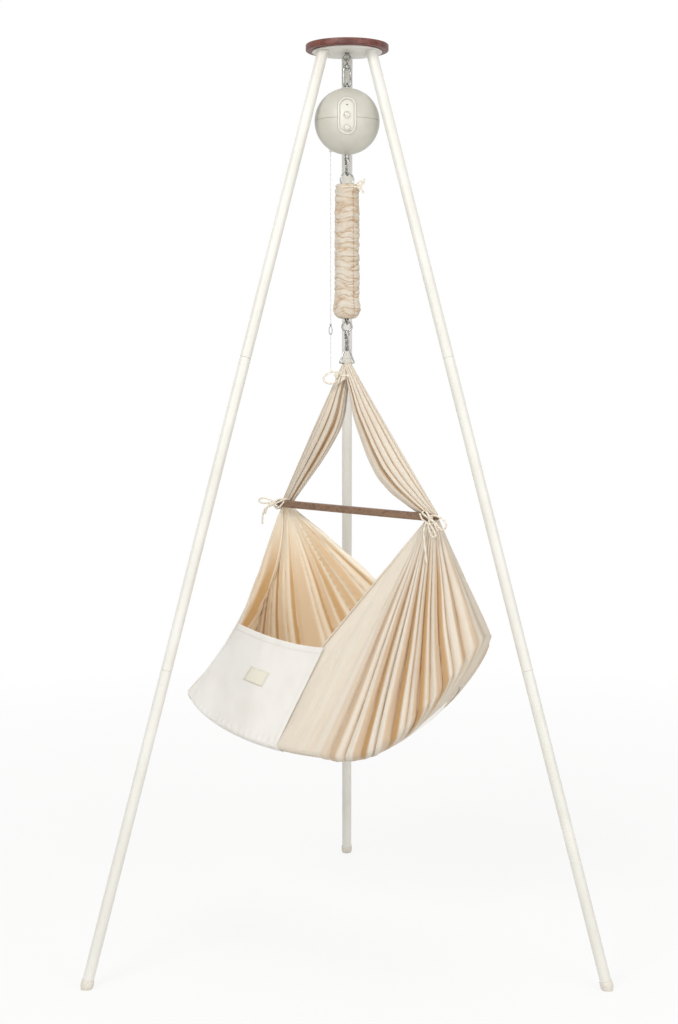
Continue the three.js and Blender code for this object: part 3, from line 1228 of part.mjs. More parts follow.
// The front panel's outer cloth, which closes the low side between the two hem ends.
function panelPoint(share, t, standOff) {
  const start = turnShares.panelLeft;
  const part = (share - start) / (1 + turnShares.hemNear - start);
  const hemLine = new THREE.Vector3(...hem.panelLeft).lerp(new THREE.Vector3(...hem.panelRight), part);
  hemLine.z -= hem.panelSag * 4 * part * (1 - part);
  const off = standOff + bellyAt(share) * 4 * t * (1 - t);
  return rimPoint(share).lerp(hemLine, t).addScaledVector(outwardAt(share), off);
}

function buildPanelCloth(parent) {
  const start = turnShares.panelLeft;
  const span = 1 + turnShares.hemNear - start;
  const standOff = (cloth.thickness + panelCloth.thickness) / 2 + clearance * 3;
  const spot = (a, t) => panelPoint(start + span * a, t, standOff);
  const sheet = sheetGrid(spot, panelCloth.columns, panelCloth.rows);
  const panelSolid = thickened(sheet.positions, sheet.index, panelCloth.thickness);
  addPiece(parent, 'front_panel', panelSolid, 'whiteCloth');
  const labelOff = standOff + (panelCloth.thickness + label.thickness) / 2 + clearance * 2;
  const patch = sheetGrid((a, b) => panelPoint(
    label.share + label.shareWidth * (a - 0.5),
    label.rise + label.riseHeight * (b - 0.5),
    labelOff,
  ), label.columns, 1);
  addPiece(parent, 'sewn_label', thickened(patch.positions, patch.index, label.thickness), 'canvas');
}

// The mattress follows the floor cloth, ring for ring, and stops short of the steep head end.
function buildMattress(parent) {
  const { columns } = cloth;
  const wallSpan = turnShares.panelLeft - turnShares.hemNear;
  const positions = [];
  const index = [];
  const push = (p) => positions.push(p.x, p.y, p.z);
  push(floorPoint(0, 0, 0));
  floorShares.forEach((q) => {
    for (let i = 0; i < columns; i++) push(floorPoint(columnShare(i, wallSpan), q, 0));
  });
  const at = (ring, i) => 1 + ring * columns + (i % columns);
  for (let i = 0; i < columns; i++) index.push(0, at(0, i), at(0, i + 1));
  for (let r = 0; r < floorShares.length - 1; r++) {
    for (let i = 0; i < columns; i++) {
      index.push(at(r, i), at(r + 1, i), at(r + 1, i + 1), at(r, i), at(r + 1, i + 1), at(r, i + 1));
    }
  }
  const lowered = indexed([...positions], index);
  lowered.computeVertexNormals();
  const normals = lowered.attributes.normal.array;
  const up = Math.sign(normals[2]);
  const lift = cloth.thickness / 2 + clearance * 3 + pad.thickness / 2;
  const middle = positions.map((value, i) => value + up * lift * normals[i]);
  const reach = 2 * base.headReach;
  const headEnd = solidOf(block(base.headReach * pad.headShare, reach, -reach, reach, -reach, reach));
  const filling = solidOf(thickened(middle, index, pad.thickness));
  addPiece(parent, 'mattress', filling.subtract(headEnd), 'whiteCloth');
}

function buildSling(parent) {
  const place = groupAt(parent, slingShift, 0, slingFloorZ, slingTurn);
  const strapTop = apexPoint(apex.strapTopDrop);
  addPiece(place, 'sling_canvas', joined(
    buildCanvas(),
    strapSolid(headGather.clone(), strapTop, strapShape.headFullness),
    strapSolid(footGather.clone(), strapTop, strapShape.footFullness),
    apexLoop(),
  ), 'canvas');
  addPiece(parent, 'triangle_ring', flatLoop(trianglePoints(), triangle.wire, sides.ring)
    .rotateZ(THREE.MathUtils.degToRad(triangle.turn)).translate(0, 0, trianglePivotZ), 'steel');
  buildPanelCloth(place);
  buildMattress(place);
  buildBar(place);
  addPiece(place, 'head_tie', barTie(headAlong - tie.lean, 1), 'cord');
  addPiece(place, 'foot_tie', barTie(footAlong + tie.lean, -1), 'cord');
  addPiece(parent, 'apex_tie', wrappedCord(apexTie).translate(0, 0, trianglePivotZ - apexTie.drop), 'cord');
}

buildStand(cradle);
buildEyeBolt(cradle);
buildTopHook(cradle);
buildShells(cradle);
buildPanel(cradle);
const guideTop = buildWorks(cradle);
buildLiftHook(cradle);
buildSpring(cradle);
buildLine(cradle, guideTop);
buildSlingHook(cradle);
buildSling(cradle);

cradle.updateMatrixWorld(true);
const extent = new THREE.Box3().setFromObject(cradle);
cradle.position.set(-(extent.min.x + extent.max.x) / 2, -(extent.min.y + extent.max.y) / 2, 0);

export default cradle;
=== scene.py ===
import math

import bmesh
import bpy
from mathutils import Matrix, Vector, noise


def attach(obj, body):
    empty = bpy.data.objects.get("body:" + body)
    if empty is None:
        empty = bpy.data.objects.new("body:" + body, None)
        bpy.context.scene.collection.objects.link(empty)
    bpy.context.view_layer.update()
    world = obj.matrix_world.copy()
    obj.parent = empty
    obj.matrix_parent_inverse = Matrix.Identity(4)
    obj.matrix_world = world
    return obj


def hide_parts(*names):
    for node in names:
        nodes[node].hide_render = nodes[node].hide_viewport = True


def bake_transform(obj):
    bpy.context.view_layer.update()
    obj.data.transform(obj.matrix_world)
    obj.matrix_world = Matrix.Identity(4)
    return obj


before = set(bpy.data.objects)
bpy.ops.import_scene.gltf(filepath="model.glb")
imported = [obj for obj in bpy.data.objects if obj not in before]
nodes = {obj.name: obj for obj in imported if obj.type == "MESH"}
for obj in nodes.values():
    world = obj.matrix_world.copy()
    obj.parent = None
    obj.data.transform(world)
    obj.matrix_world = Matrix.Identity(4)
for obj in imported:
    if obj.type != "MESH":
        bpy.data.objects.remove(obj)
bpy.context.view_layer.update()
print("frame loaded:", len(nodes), "nodes")

# Pieces are drawn in millimetres round the tripod's own axis, as in the CAD source. toFrame brings them to
# their places in the frame.
axisY = -157.5413055
toFrame = Matrix.Scale(0.001, 4) @ Matrix.Translation((0, axisY, 0))

# Camera

view = {"lens": 57.13, "sensor": 36, "place": (0, -3.7645413, 1.3225), "tilt": 84.48, "turn": 0.28}
cameraData = bpy.data.cameras.new("camera")
cameraData.lens = view["lens"]
cameraData.sensor_width = view["sensor"]
camera = bpy.data.objects.new("camera", cameraData)
camera.location = view["place"]
camera.rotation_euler = (math.radians(view["tilt"]), 0, math.radians(view["turn"]))
bpy.context.scene.collection.objects.link(camera)
bpy.context.scene.camera = camera
bpy.context.scene.view_settings.view_transform = "Standard"


# Finishes

def paint(red, green, blue):
    channels = [c / 255 for c in (red, green, blue)]
    return tuple(c / 12.92 if c <= 0.04045 else ((c + 0.055) / 1.055) ** 2.4 for c in channels) + (1,)


class Link:
    # an output socket; sums and products of links add their Math nodes
    def __init__(self, finish, socket):
        self.finish = finish
        self.socket = socket

    def __add__(self, other):
        return self.finish.maths("ADD", self, other)

    def __radd__(self, other):
        return self.finish.maths("ADD", other, self)

    def __sub__(self, other):
        return self.finish.maths("SUBTRACT", self, other)

    def __rsub__(self, other):
        return self.finish.maths("SUBTRACT", other, self)

    def __mul__(self, other):
        return self.finish.maths("MULTIPLY", self, other)


class Finish:
    # one node tree under construction
    def __init__(self, tree):
        self.tree = tree
        tree.nodes.clear()

    def node(self, kind, settings=None, inputs=None, output=0):
        made = self.tree.nodes.new(kind)
        for key, value in (settings or {}).items():
            if key == "stops":
                while len(made.color_ramp.elements) < len(value):
                    made.color_ramp.elements.new(1)
                for element, (position, colour) in zip(made.color_ramp.elements, value):
                    element.position = position
                    element.color = colour
            else:
                setattr(made, key, value)
        for key, value in (inputs or {}).items():
            if isinstance(value, Link):
                self.tree.links.new(value.socket, made.inputs[key])
            else:
                made.inputs[key].default_value = value
        return Link(self, made.outputs[output]) if made.outputs else None

    def maths(self, operation, *values):
        return self.node("ShaderNodeMath", {"operation": operation}, dict(enumerate(values)))

    def place(self, kind="Object", scale=(1, 1, 1), turn=(0, 0, 0)):
        spot = self.node("ShaderNodeTexCoord", output=kind)
        return self.node("ShaderNodeMapping", {}, {"Vector": spot, "Scale": scale, "Rotation": turn})

    def grain(self, place, scale, detail=3, roughness=0.5, distortion=0):
        values = {
            "Vector": place, "Scale": scale, "Detail": detail, "Roughness": roughness,
            "Distortion": distortion,
        }
        return self.node("ShaderNodeTexNoise", {}, values)

    def wave(self, place, period, direction, distortion=0):
        settings = {"bands_direction": direction}
        values = {"Vector": place, "Scale": math.pi / 10 / period, "Distortion": distortion, "Detail": 1}
        return self.node("ShaderNodeTexWave", settings, values, 1)

    def attribute(self, name):
        return self.node("ShaderNodeAttribute", {"attribute_name": name}, output=2)

    def span(self, value, low, high, start=0, end=1):
        return self.node("ShaderNodeMapRange", {}, {0: value, 1: low, 2: high, 3: start, 4: end})

    def between(self, factor, first, second):
        return self.node("ShaderNodeMix", {"data_type": "RGBA"}, {0: factor, 6: first, 7: second}, 2)

    def ramp(self, factor, stops):
        return self.node("ShaderNodeValToRGB", {"stops": stops}, {0: factor})

    def bump(self, height, distance, below=None):
        values = {"Height": height, "Distance": distance, "Strength": 1}
        if below:
            values["Normal"] = below
        return self.node("ShaderNodeBump", {}, values)

    def close(self, values):
        surface = self.node("ShaderNodeBsdfPrincipled", {}, values)
        self.node("ShaderNodeOutputMaterial", {}, {"Surface": surface})


def newMaterial(name):
    material = bpy.data.materials.new(name)
    material.use_nodes = True
    return material, Finish(material.node_tree)


paintLook = {
    "light": (230, 228, 221), "deep": (222, 219, 210), "scuff": (190, 183, 170),
    "peel": 0.00002, "peelScale": 900, "roughness": 0.34,
}


def makeCreamPaint():
    material, f = newMaterial("creamPaint")
    spot = f.place()
    cloud = f.grain(spot, 9, 3)
    peel = f.grain(spot, paintLook["peelScale"], 2)
    scuff = f.span(f.grain(spot, 160, 5, 0.7), 0.66, 0.8)
    colour = f.between(f.span(cloud, 0.3, 0.7), paint(*paintLook["light"]), paint(*paintLook["deep"]))
    f.close({
        "Base Color": f.between(scuff * 0.35, colour, paint(*paintLook["scuff"])),
        "Roughness": paintLook["roughness"] + peel * 0.16 + scuff * 0.15,
        "Normal": f.bump(peel, paintLook["peel"]),
        "Specular IOR Level": 0.5,
    })
    return material


woodLook = {
    "cap": {"dark": (76, 34, 28), "mid": (122, 66, 54), "pale": (150, 92, 76)},
    "bar": {"dark": (104, 78, 59), "mid": (137, 108, 84), "pale": (158, 131, 106)},
    "pores": (34, 20, 15), "roughness": 0.42,
}


def makeWalnut(name, tones, turn, stretch=(2.2, 34, 34)):
    material, f = newMaterial(name)
    spot = f.place(scale=stretch, turn=(0, 0, turn))
    figure = f.grain(spot, 2.4, 6, 0.6, 0.9)
    streak = f.grain(f.place(scale=(6, 420, 420), turn=(0, 0, turn)), 1, 3, 0.6)
    pores = f.span(f.grain(f.place(scale=(30, 1500, 1500), turn=(0, 0, turn)), 1, 2), 0.6, 0.72)
    dark, mid, pale = (paint(*woodLook[tones][tone]) for tone in ("dark", "mid", "pale"))
    colour = f.ramp(figure * 0.75 + streak * 0.25, [(0.3, dark), (0.48, mid), (0.58, dark), (0.72, pale)])
    f.close({
        "Base Color": f.between(pores * 0.6, colour, paint(*woodLook["pores"])),
        "Roughness": woodLook["roughness"] + streak * 0.2,
        "Normal": f.bump(streak - pores, 0.00012),
        "Coat Weight": 0.12, "Coat Roughness": 0.3,
    })
    return material


footLook = {"clean": (222, 216, 205), "dusty": (196, 189, 176), "roughness": 0.5}


def makeFootPlastic():
    material, f = newMaterial("footPlastic")
    spot = f.place()
    grit = f.grain(spot, 1300, 3, 0.7)
    dust = f.span(f.grain(spot, 90, 4, 0.6), 0.45, 0.75)
    f.close({
        "Base Color": f.between(dust * 0.5, paint(*footLook["clean"]), paint(*footLook["dusty"])),
        "Roughness": footLook["roughness"] + grit * 0.25, "Normal": f.bump(grit, 0.00008),
    })
    return material


steelLook = {"bright": (176, 175, 173), "dull": (128, 127, 126), "roughness": 0.13}


def makeSteel(name, bright, dull, roughness):
    material, f = newMaterial(name)
    spot = f.place()
    cloud = f.grain(spot, 140, 4, 0.6)
    scratch = f.grain(f.place(scale=(400, 400, 2600)), 1, 3, 0.6)
    f.close({
        "Base Color": f.between(f.span(cloud, 0.35, 0.7), paint(*bright), paint(*dull)),
        "Metallic": 1, "Roughness": roughness + cloud * 0.16 + scratch * 0.08,
        "Normal": f.bump(scratch, 0.00002),
    })
    return material


def makePlastic(name, light, deep, roughness, speckle=0.00003, coat=0):
    material, f = newMaterial(name)
    spot = f.place()
    fine = f.grain(spot, 1700, 2, 0.6)
    cloud = f.grain(spot, 22, 3)
    f.close({
        "Base Color": f.between(f.span(cloud, 0.3, 0.7), paint(*light), paint(*deep)),
        "Roughness": roughness + fine * 0.14, "Normal": f.bump(fine, speckle), "Coat Weight": coat,
    })
    return material


boardLook = {"board": (30, 84, 48), "trace": (48, 112, 66), "pad": (196, 180, 130)}


def makeCircuitGreen():
    material, f = newMaterial("circuitGreen")
    spot = f.place()
    traces = f.span(f.wave(spot, 0.004, "X", 6), 0.55, 0.62)
    pads = f.span(f.node("ShaderNodeTexVoronoi", {}, {"Vector": spot, "Scale": 220}), 0.16, 0.12)
    board = f.between(traces, paint(*boardLook["board"]), paint(*boardLook["trace"]))
    f.close({
        "Base Color": f.between(pads, board, paint(*boardLook["pad"])),
        "Metallic": pads * 0.8, "Roughness": 0.5 - pads * 0.2, "Normal": f.bump(traces + pads, 0.00008),
    })
    return material


clothLook = {
    # Each cloth has its own colour and a second colour that is painted shade for its folds.
    "canvas": (227, 218, 203), "canvasPaintedShade": (190, 150, 101),
    "insidePaintedLight": (245, 235, 216), "insidePaintedShade": (208, 170, 120),
    "white": (240, 237, 231), "whitePaintedShade": (226, 221, 212),
    # glow: painted light, an emission that brightens the inside canvas and the mattress cloth.
    "thread": 0.0012, "stitch": 0.0036, "stitchWide": 0.0007, "roughness": 0.86, "glow": 0.14,
}


# Woven cloth. Its UV map is in metres, so the weave keeps its size; one point attribute gives how much
# painted shade a point gets deep in a fold, and "edge" how far it is from the hem.
def makeCloth(name, light, paintedShade, slub=0.5, wrinkle=0.0006, hem=0.011, glow=0):
    material, f = newMaterial(name)
    uv = f.place("UV")
    warp = f.wave(uv, clothLook["thread"], "X", 0.6)
    weft = f.wave(uv, clothLook["thread"] * 0.9, "Y", 0.6)
    longSlub = f.grain(f.place("UV", (60, 900, 1)), 1, 3, 0.6)
    crossSlub = f.grain(f.place("UV", (900, 60, 1)), 1, 3, 0.6)
    crumple = f.grain(uv, 46, 5, 0.6, 0.5)
    stain = f.grain(uv, 7, 3)
    fold = f.attribute("fold")
    edge = f.attribute("edge")
    stitchRow = f.span(f.maths("COMPARE", edge, hem, clothLook["stitchWide"]), 0, 1)
    dash = f.span(f.wave(uv, clothLook["stitch"], "X"), 0.25, 0.4)
    stitch = stitchRow * dash
    # Painted shade: deeper in a fold, the colour turns towards the shade colour.
    colour = f.between(f.span(fold, 0.15, 0.95), paint(*light), paint(*paintedShade))
    slubs = longSlub * 0.5 + crossSlub * 0.5
    darker = tuple(c * 0.9 for c in paint(*paintedShade)[:3]) + (1,)
    colour = f.between((slubs - 0.4) * slub, colour, darker)
    colour = f.between(f.span(stain, 0.45, 0.75) * 0.12, colour, darker)
    colour = f.between(stitch * 0.35, colour, darker)
    weave = f.bump(warp * weft + slubs * 1.5, 0.00022)
    f.close({
        "Base Color": colour, "Roughness": clothLook["roughness"] + warp * 0.08,
        "Normal": f.bump(crumple - stitch * 0.4, wrinkle, weave),
        "Sheen Weight": 0.12, "Sheen Roughness": 0.5, "Specular IOR Level": 0.25,
        # Emission: painted light, a glow by which the cloth brightens itself.
        "Emission Color": colour, "Emission Strength": glow,
    })
    return material


def makeCotton(name, dark, light):
    material, f = newMaterial(name)
    strands = {"Vector": f.place("UV"), "Scale": 60, "Distortion": 1}
    twist = f.node("ShaderNodeTexWave", {"bands_direction": "DIAGONAL"}, strands, 1)
    fuzz = f.grain(f.place(), 1500, 3, 0.7)
    # Painted shade between the twisted strands, with random fuzz.
    f.close({
        "Base Color": f.between(twist * 0.7 + fuzz * 0.3, paint(*dark), paint(*light)),
        "Roughness": 0.82 + fuzz * 0.1, "Normal": f.bump(twist + fuzz * 0.6, 0.0004), "Sheen Weight": 0.15,
    })
    return material


labelLook = {
    "cloth": (230, 225, 209), "rib": (221, 215, 197), "thread": (204, 196, 176),
    "inset": 0.06, "stitches": 34,
}


def makeLabelCloth():
    material, f = newMaterial("labelCloth")
    across = f.node("ShaderNodeSeparateXYZ", {}, {0: f.place("UV")})
    up = Link(f, across.socket.node.outputs[1])
    rim = f.maths("MAXIMUM", f.maths("ABSOLUTE", across - 0.5), f.maths("ABSOLUTE", up - 0.5))
    row = f.maths("COMPARE", rim, 0.5 - labelLook["inset"], 0.012)
    dash = f.maths("SINE", (across + up) * labelLook["stitches"] * math.tau)
    stitch = row * f.span(dash, -0.4, 0)
    ribs = f.wave(f.place("UV"), 0.02, "Y", 0.4)
    cloth = f.between(ribs * 0.4, paint(*labelLook["cloth"]), paint(*labelLook["rib"]))
    f.close({
        "Base Color": f.between(stitch, cloth, paint(*labelLook["thread"])),
        "Roughness": 0.7 + ribs * 0.1, "Normal": f.bump(ribs * 0.3 + stitch, 0.0003), "Sheen Weight": 0.2,
    })
    return material


look = clothLook
finishes = {
    "paint": makeCreamPaint(),
    "capWood": makeWalnut("capWood", "cap", 0),
    "barWood": makeWalnut("barWood", "bar", math.radians(38)),
    "foot": makeFootPlastic(),
    "steel": makeSteel("hookSteel", steelLook["bright"], steelLook["dull"], steelLook["roughness"]),
    "works": makeSteel("worksSteel", (176, 177, 178), (140, 142, 144), 0.28),
    "shell": makePlastic("shellPlastic", (205, 203, 191), (197, 195, 182), 0.36),
    "face": makePlastic("panelPlastic", (224, 222, 211), (215, 214, 202), 0.34),
    "knob": makePlastic("knobPlastic", (222, 219, 208), (212, 209, 196), 0.14, 0.00001, 0.5),
    "lamp": makePlastic("lampLens", (40, 38, 34), (24, 22, 20), 0.08, 0.000005, 0.8),
    # the seam lip's dark colour: painted shade of the seam's groove
    "seamShade": makePlastic("seamShadePlastic", (160, 147, 131), (148, 135, 120), 0.5),
    "black": makePlastic("inletPlastic", (46, 45, 44), (34, 33, 32), 0.4),
    "board": makeCircuitGreen(),
    "canvas": makeCloth("canvasCloth", look["canvas"], look["canvasPaintedShade"]),
    # The inner side of the canvas: a lighter copy of the cloth with a glow, painted light standing in for
    # light through the canvas.
    "insidePaintedLight": makeCloth("canvasInsidePaintedLight", look["insidePaintedLight"], look["insidePaintedShade"], glow=look["glow"]),
    "white": makeCloth("whiteCloth", look["white"], look["whitePaintedShade"], 0.25, 0.0005, 0.014),
    # The mattress cloth glows too: painted light.
    "pad": makeCloth("padCloth", look["white"], look["whitePaintedShade"], 0.25, 0.0009, 0.014, look["glow"]),
    "cord": makeCotton("cordCotton", (216, 203, 180), (243, 236, 222)),
    "line": makeCotton("lineCord", (206, 204, 198), (236, 235, 231)),
    "label": makeLabelCloth(),
}
print("finishes made:", len(finishes))


# Shaping

def soften(shape, width, segments=3, above=35):
    limit = math.radians(above)
    edges = [e for e in shape.edges if len(e.link_faces) == 2 and e.calc_face_angle() > limit]
    bmesh.ops.bevel(shape, geom=edges, offset=width, offset_type="OFFSET", affect="EDGES", segments=segments,
                    profile=0.5, material=-1, clamp_overlap=True)
    return shape


def faceOut(shape):
    bmesh.ops.recalc_face_normals(shape, faces=shape.faces[:])
    return shape


def closeUp(shape):
    bmesh.ops.remove_doubles(shape, verts=shape.verts[:], dist=0.001)
    return faceOut(shape)


def spunRound(shape, geom, steps):
    bmesh.ops.spin(shape, geom=geom, cent=(0, 0, 0), axis=(0, 0, 1), dvec=(0, 0, 0),
                   angle=2 * math.pi, steps=steps, use_merge=True, use_duplicate=False)
    return closeUp(shape)


# A profile of (radius, height above the base) points spun once round Z.
def turnedShape(profile, steps=64, base=0):
    shape = bmesh.new()
    line = [shape.verts.new((radius, 0, base + height)) for radius, height in profile]
    edges = [shape.edges.new(pair) for pair in zip(line, line[1:])]
    if profile[0][0] or profile[-1][0]:
        edges.append(shape.edges.new((line[-1], line[0])))
    return spunRound(shape, line + edges, steps)


def moved(shape, *steps):
    for step in steps:
        bmesh.ops.transform(shape, matrix=step, verts=shape.verts[:])
    return shape


def shift(x, y, z):
    return Matrix.Translation((x, y, z))


def turn(degrees, axis="Z"):
    return Matrix.Rotation(math.radians(degrees), 4, axis)


def together(*shapes):
    whole = bmesh.new()
    for shape in shapes:
        part = bpy.data.meshes.new("part")
        shape.to_mesh(part)
        shape.free()
        whole.from_mesh(part)
        bpy.data.meshes.remove(part)
    return whole


def placed(name, shape, material=None):
    mesh = bpy.data.meshes.new(name)
    shape.to_mesh(mesh)
    shape.free()
    if material:
        mesh.materials.append(material)
    made = bpy.data.objects.new(name, mesh)
    bpy.context.scene.collection.objects.link(made)
    return made


# A shape with a hole where a cutter goes through it.
def carve(shape, cutter):
    pair = [placed("part", part) for part in (shape, cutter)]
    cut = pair[0].modifiers.new("cut", "BOOLEAN")
    cut.object = pair[1]
    cut.solver = "EXACT"
    left = bpy.data.meshes.new_from_object(pair[0].evaluated_get(bpy.context.evaluated_depsgraph_get()))
    carved = bmesh.new()
    carved.from_mesh(left)
    for part in pair:
        bpy.data.meshes.remove(part.data)
    bpy.data.meshes.remove(left)
    return carved


def smoothRun(points, steps=8, closed=False):
    points = [Vector(p) for p in points]
    count = len(points)
    run = []
    for i in range(count if closed else count - 1):
        if closed:
            a, b, c, d = (points[(i + k) % count] for k in (-1, 0, 1, 2))
        else:
            a, b, c, d = points[max(i - 1, 0)], points[i], points[i + 1], points[min(i + 2, count - 1)]
        for k in range(steps):
            t = k / steps
            run.append(0.5 * (2 * b + (c - a) * t + (2 * a - 5 * b + 4 * c - d) * t * t
                              + (3 * b - a - 3 * c + d) * t ** 3))
    if not closed:
        run.append(points[-1])
    return run


# A round wire or cord along a run of points. Its UV map runs in metres along it and round it.
def wireShape(points, radius, closed=False, fineness=3):
    curve = bpy.data.curves.new("wire", "CURVE")
    curve.dimensions = "3D"
    curve.bevel_depth = radius
    curve.bevel_resolution = fineness
    curve.use_fill_caps = not closed
    spline = curve.splines.new("POLY")
    spline.points.add(len(points) - 1)
    for spot, p in zip(spline.points, points):
        spot.co = (*p, 1)
    spline.use_cyclic_u = closed
    holder = bpy.data.objects.new("wire", curve)
    bpy.context.scene.collection.objects.link(holder)
    mesh = bpy.data.meshes.new_from_object(holder.evaluated_get(bpy.context.evaluated_depsgraph_get()))
    length = sum((b - a).length for a, b in zip(points, points[1:])) / 1000
    for layer in mesh.uv_layers:
        layer.name = "weave"
        for loop in layer.data:
            loop.uv = (loop.uv[0] * length, loop.uv[1] * radius * 0.00628)
    shape = bmesh.new()
    shape.from_mesh(mesh)
    bpy.data.objects.remove(holder)
    bpy.data.meshes.remove(mesh)
    return closeUp(shape)


def noiseAt(x, y, z):
    return noise.noise(Vector((x, y, z)))


# A rise that is 1 at its middle and dies away over a width to both sides.
def bell(value, width, middle=0):
    return math.exp(-((value - middle) / width) ** 2)


# How far from a hem, in millimetres, the cloth counts as that has none near.
noHem = 1000


# A sheet of cloth: a grid whose points are placed by their shares across and along. The UV map is in metres.
# For each point, spot says where it is, how much painted shade it gets in a fold and how many millimetres
# from a hem.
def clothSheet(columns, rows, spot, flat, closed=False):
    shape = bmesh.new()
    weave = shape.loops.layers.uv.new("weave")
    foldLayer = shape.verts.layers.float.new("fold")
    edgeLayer = shape.verts.layers.float.new("edge")
    bmesh.ops.create_grid(shape, x_segments=columns, y_segments=rows, size=0.5, calc_uvs=True)
    for face in shape.faces:
        for loop in face.loops:
            loop[weave].uv = (loop[weave].uv[0] * flat[0], loop[weave].uv[1] * flat[1])
    for vert in shape.verts:
        point, fold, edge = spot(vert.co.x + 0.5, vert.co.y + 0.5)
        vert.co = point
        vert[foldLayer] = fold
        vert[edgeLayer] = edge / 1000
    if closed:
        bmesh.ops.remove_doubles(shape, verts=shape.verts[:], dist=0.01)
    faceOut(shape)
    if shape.calc_volume(signed=True) < 0:
        bmesh.ops.reverse_faces(shape, faces=shape.faces[:])
    return shape


def addPiece(name, shape, body, finish, stands=(), home=toFrame, sharp=45):
    piece = placed(name, moved(shape, home), finishes[finish])
    piece.data.shade_smooth()
    if sharp:
        piece.data.set_sharp_from_angle(angle=math.radians(sharp))
    if body:
        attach(piece, body)
    if stands:
        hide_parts(*stands)
    return piece


# The inner faces may get a second finish: the lighter inside copy of the cloth, with painted light.
def thicken(piece, thickness, insidePaintedLight=None):
    solid = piece.modifiers.new("thickness", "SOLIDIFY")
    solid.thickness = thickness / 1000
    solid.offset = 0
    if insidePaintedLight:
        piece.data.materials.append(finishes[insidePaintedLight])
        solid.material_offset = 1
        solid.material_offset_rim = 0


# Safety line: the cord beside the spring, from the grommet in the ball through a small snap to the sling

safetyLine = {
    "x": -36, "guideZ": 1763.7, "knotZ": 1788.4, "snapTop": 1392.7, "snapLow": 1366.3, "endZ": 1284,
    "radius": 0.8, "gap": 0.3,
}


def plumbRun(x, top, low, steps):
    return [Vector((x, 0, top + (low - top) * i / steps)) for i in range(steps + 1)]


def knobShape(radius, x, z):
    shape = bmesh.new()
    bmesh.ops.create_icosphere(shape, subdivisions=3, radius=radius, matrix=shift(x, 0, z))
    return shape


def makeSafetyLine():
    s = safetyLine
    x, radius = s["x"], s["radius"]
    top, low = s["guideZ"], s["snapTop"] + s["gap"]
    route = plumbRun(x, top, low, 28)
    shape = wireShape(route, radius, fineness=2)
    upper = addPiece("safetyLineUpper", shape, None, "line", ["safety_line_upper"])
    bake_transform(upper)
    inside = [Vector((x, 0, z)) for z in (top + 0.5, top + 12, s["knotZ"])]
    shape = together(wireShape(inside, radius, fineness=2), knobShape(2.8, x, s["knotZ"]))
    addPiece("safetyLineKnot", shape, "hanger", "line")
    top, low = s["snapLow"] - s["gap"], s["endZ"] - s["gap"]
    tail = plumbRun(x, top, low, 16)
    shape = wireShape(tail, radius, fineness=2)
    lower = addPiece("safetyLineLower", shape, "sling", "line", ["safety_line_lower"])
    addPiece("safetyLineEnd", knobShape(1.7, x, s["endZ"] + 1), "sling", "line")


def makeLineSnap():
    s = safetyLine
    low = s["snapLow"]
    body = turnedShape([(0, 0), (1.4, 0), (1.9, -1), (1.9, -6), (1.3, -7.4), (0, -7.4)], 24, s["snapTop"])
    angles = [2 * math.pi * i / 36 for i in range(36)]
    loop = [Vector((3.5 * math.sin(a), 0, low + 10 + 9 * math.cos(a))) for a in angles]
    foot = turnedShape([(0, 0), (1.2, 0), (1.6, 1), (1.6, 3), (1, 4), (0, 4)], 24, low)
    gate = wireShape([Vector((3.2, 0, low + 5.5)), Vector((3.2, 0, low + 15))], 1.05, fineness=2)
    shape = together(body, wireShape(loop, 0.9, closed=True), foot, gate)
    addPiece("lineSnap", moved(shape, shift(s["x"], 0, 0)), "sling", "steel", ["line_snap"])


makeSafetyLine()
makeLineSnap()
print("safety line made")


# Stand

stand = {
    "plateUnderside": 1975, "plateThickness": 3, "plateRadius": 76, "capRadius": 90, "capThickness": 17,
    "footRadius": 631, "crownRadius": 59.6, "legRadius": 12, "legWall": 1.5, "spigot": 50, "play": 0.3,
    "footHeight": 19, "footWall": 1.4, "footSeat": 4.5, "screwReach": 46,
    "turns": {"left": 210, "right": 330, "rear": 90},
}
legLean = math.atan2(stand["footRadius"] - stand["crownRadius"], stand["plateUnderside"])
legLength = math.hypot(stand["footRadius"] - stand["crownRadius"], stand["plateUnderside"])


def ontoLeg(shape, degrees):
    return moved(shape, Matrix.Rotation(-legLean, 4, "Y"), shift(stand["footRadius"], 0, 0), turn(degrees))


def trim(shape, height, above):
    geom = shape.verts[:] + shape.edges[:] + shape.faces[:]
    cut = bmesh.ops.bisect_plane(shape, geom=geom, dist=0.0001, plane_co=(0, 0, height), plane_no=(0, 0, 1),
                                 clear_outer=above, clear_inner=not above)
    return [e for e in cut["geom_cut"] if isinstance(e, bmesh.types.BMEdge)]


def makeLegs():
    radius, wall, play = stand["legRadius"], stand["legWall"], stand["play"]
    bore = radius - wall
    spigot = bore - play
    lip = 0.7
    names = ("lower", "middle", "upper")
    seat = stand["footSeat"] + play + radius * math.tan(legLean)
    for side, degrees in stand["turns"].items():
        for number, name in enumerate(names):
            low = legLength * number / len(names) + (play if number else seat)
            top = legLength * (number + 1) / len(names) + (radius if name == "upper" else 0)
            profile = [(radius - lip, low), (radius, low + lip), (radius, top - lip), (radius - lip, top),
                       (bore, top)]
            if number:
                end = low - stand["spigot"]
                profile += [(bore, low + wall), (spigot - wall, low + wall), (spigot - wall, end),
                            (spigot, end), (spigot, low)]
            else:
                profile.append((bore, low))
            shape = ontoLeg(turnedShape(profile, 48), degrees)
            if name == "upper":
                rim = trim(shape, stand["plateUnderside"] - play, True)
                bmesh.ops.bridge_loops(shape, edges=rim)
                faceOut(shape)
            piece, node = f"{side}Leg{name.capitalize()}", f"{side}_leg_{name}"
            addPiece(piece, shape, "stand", "paint", [node], sharp=35)


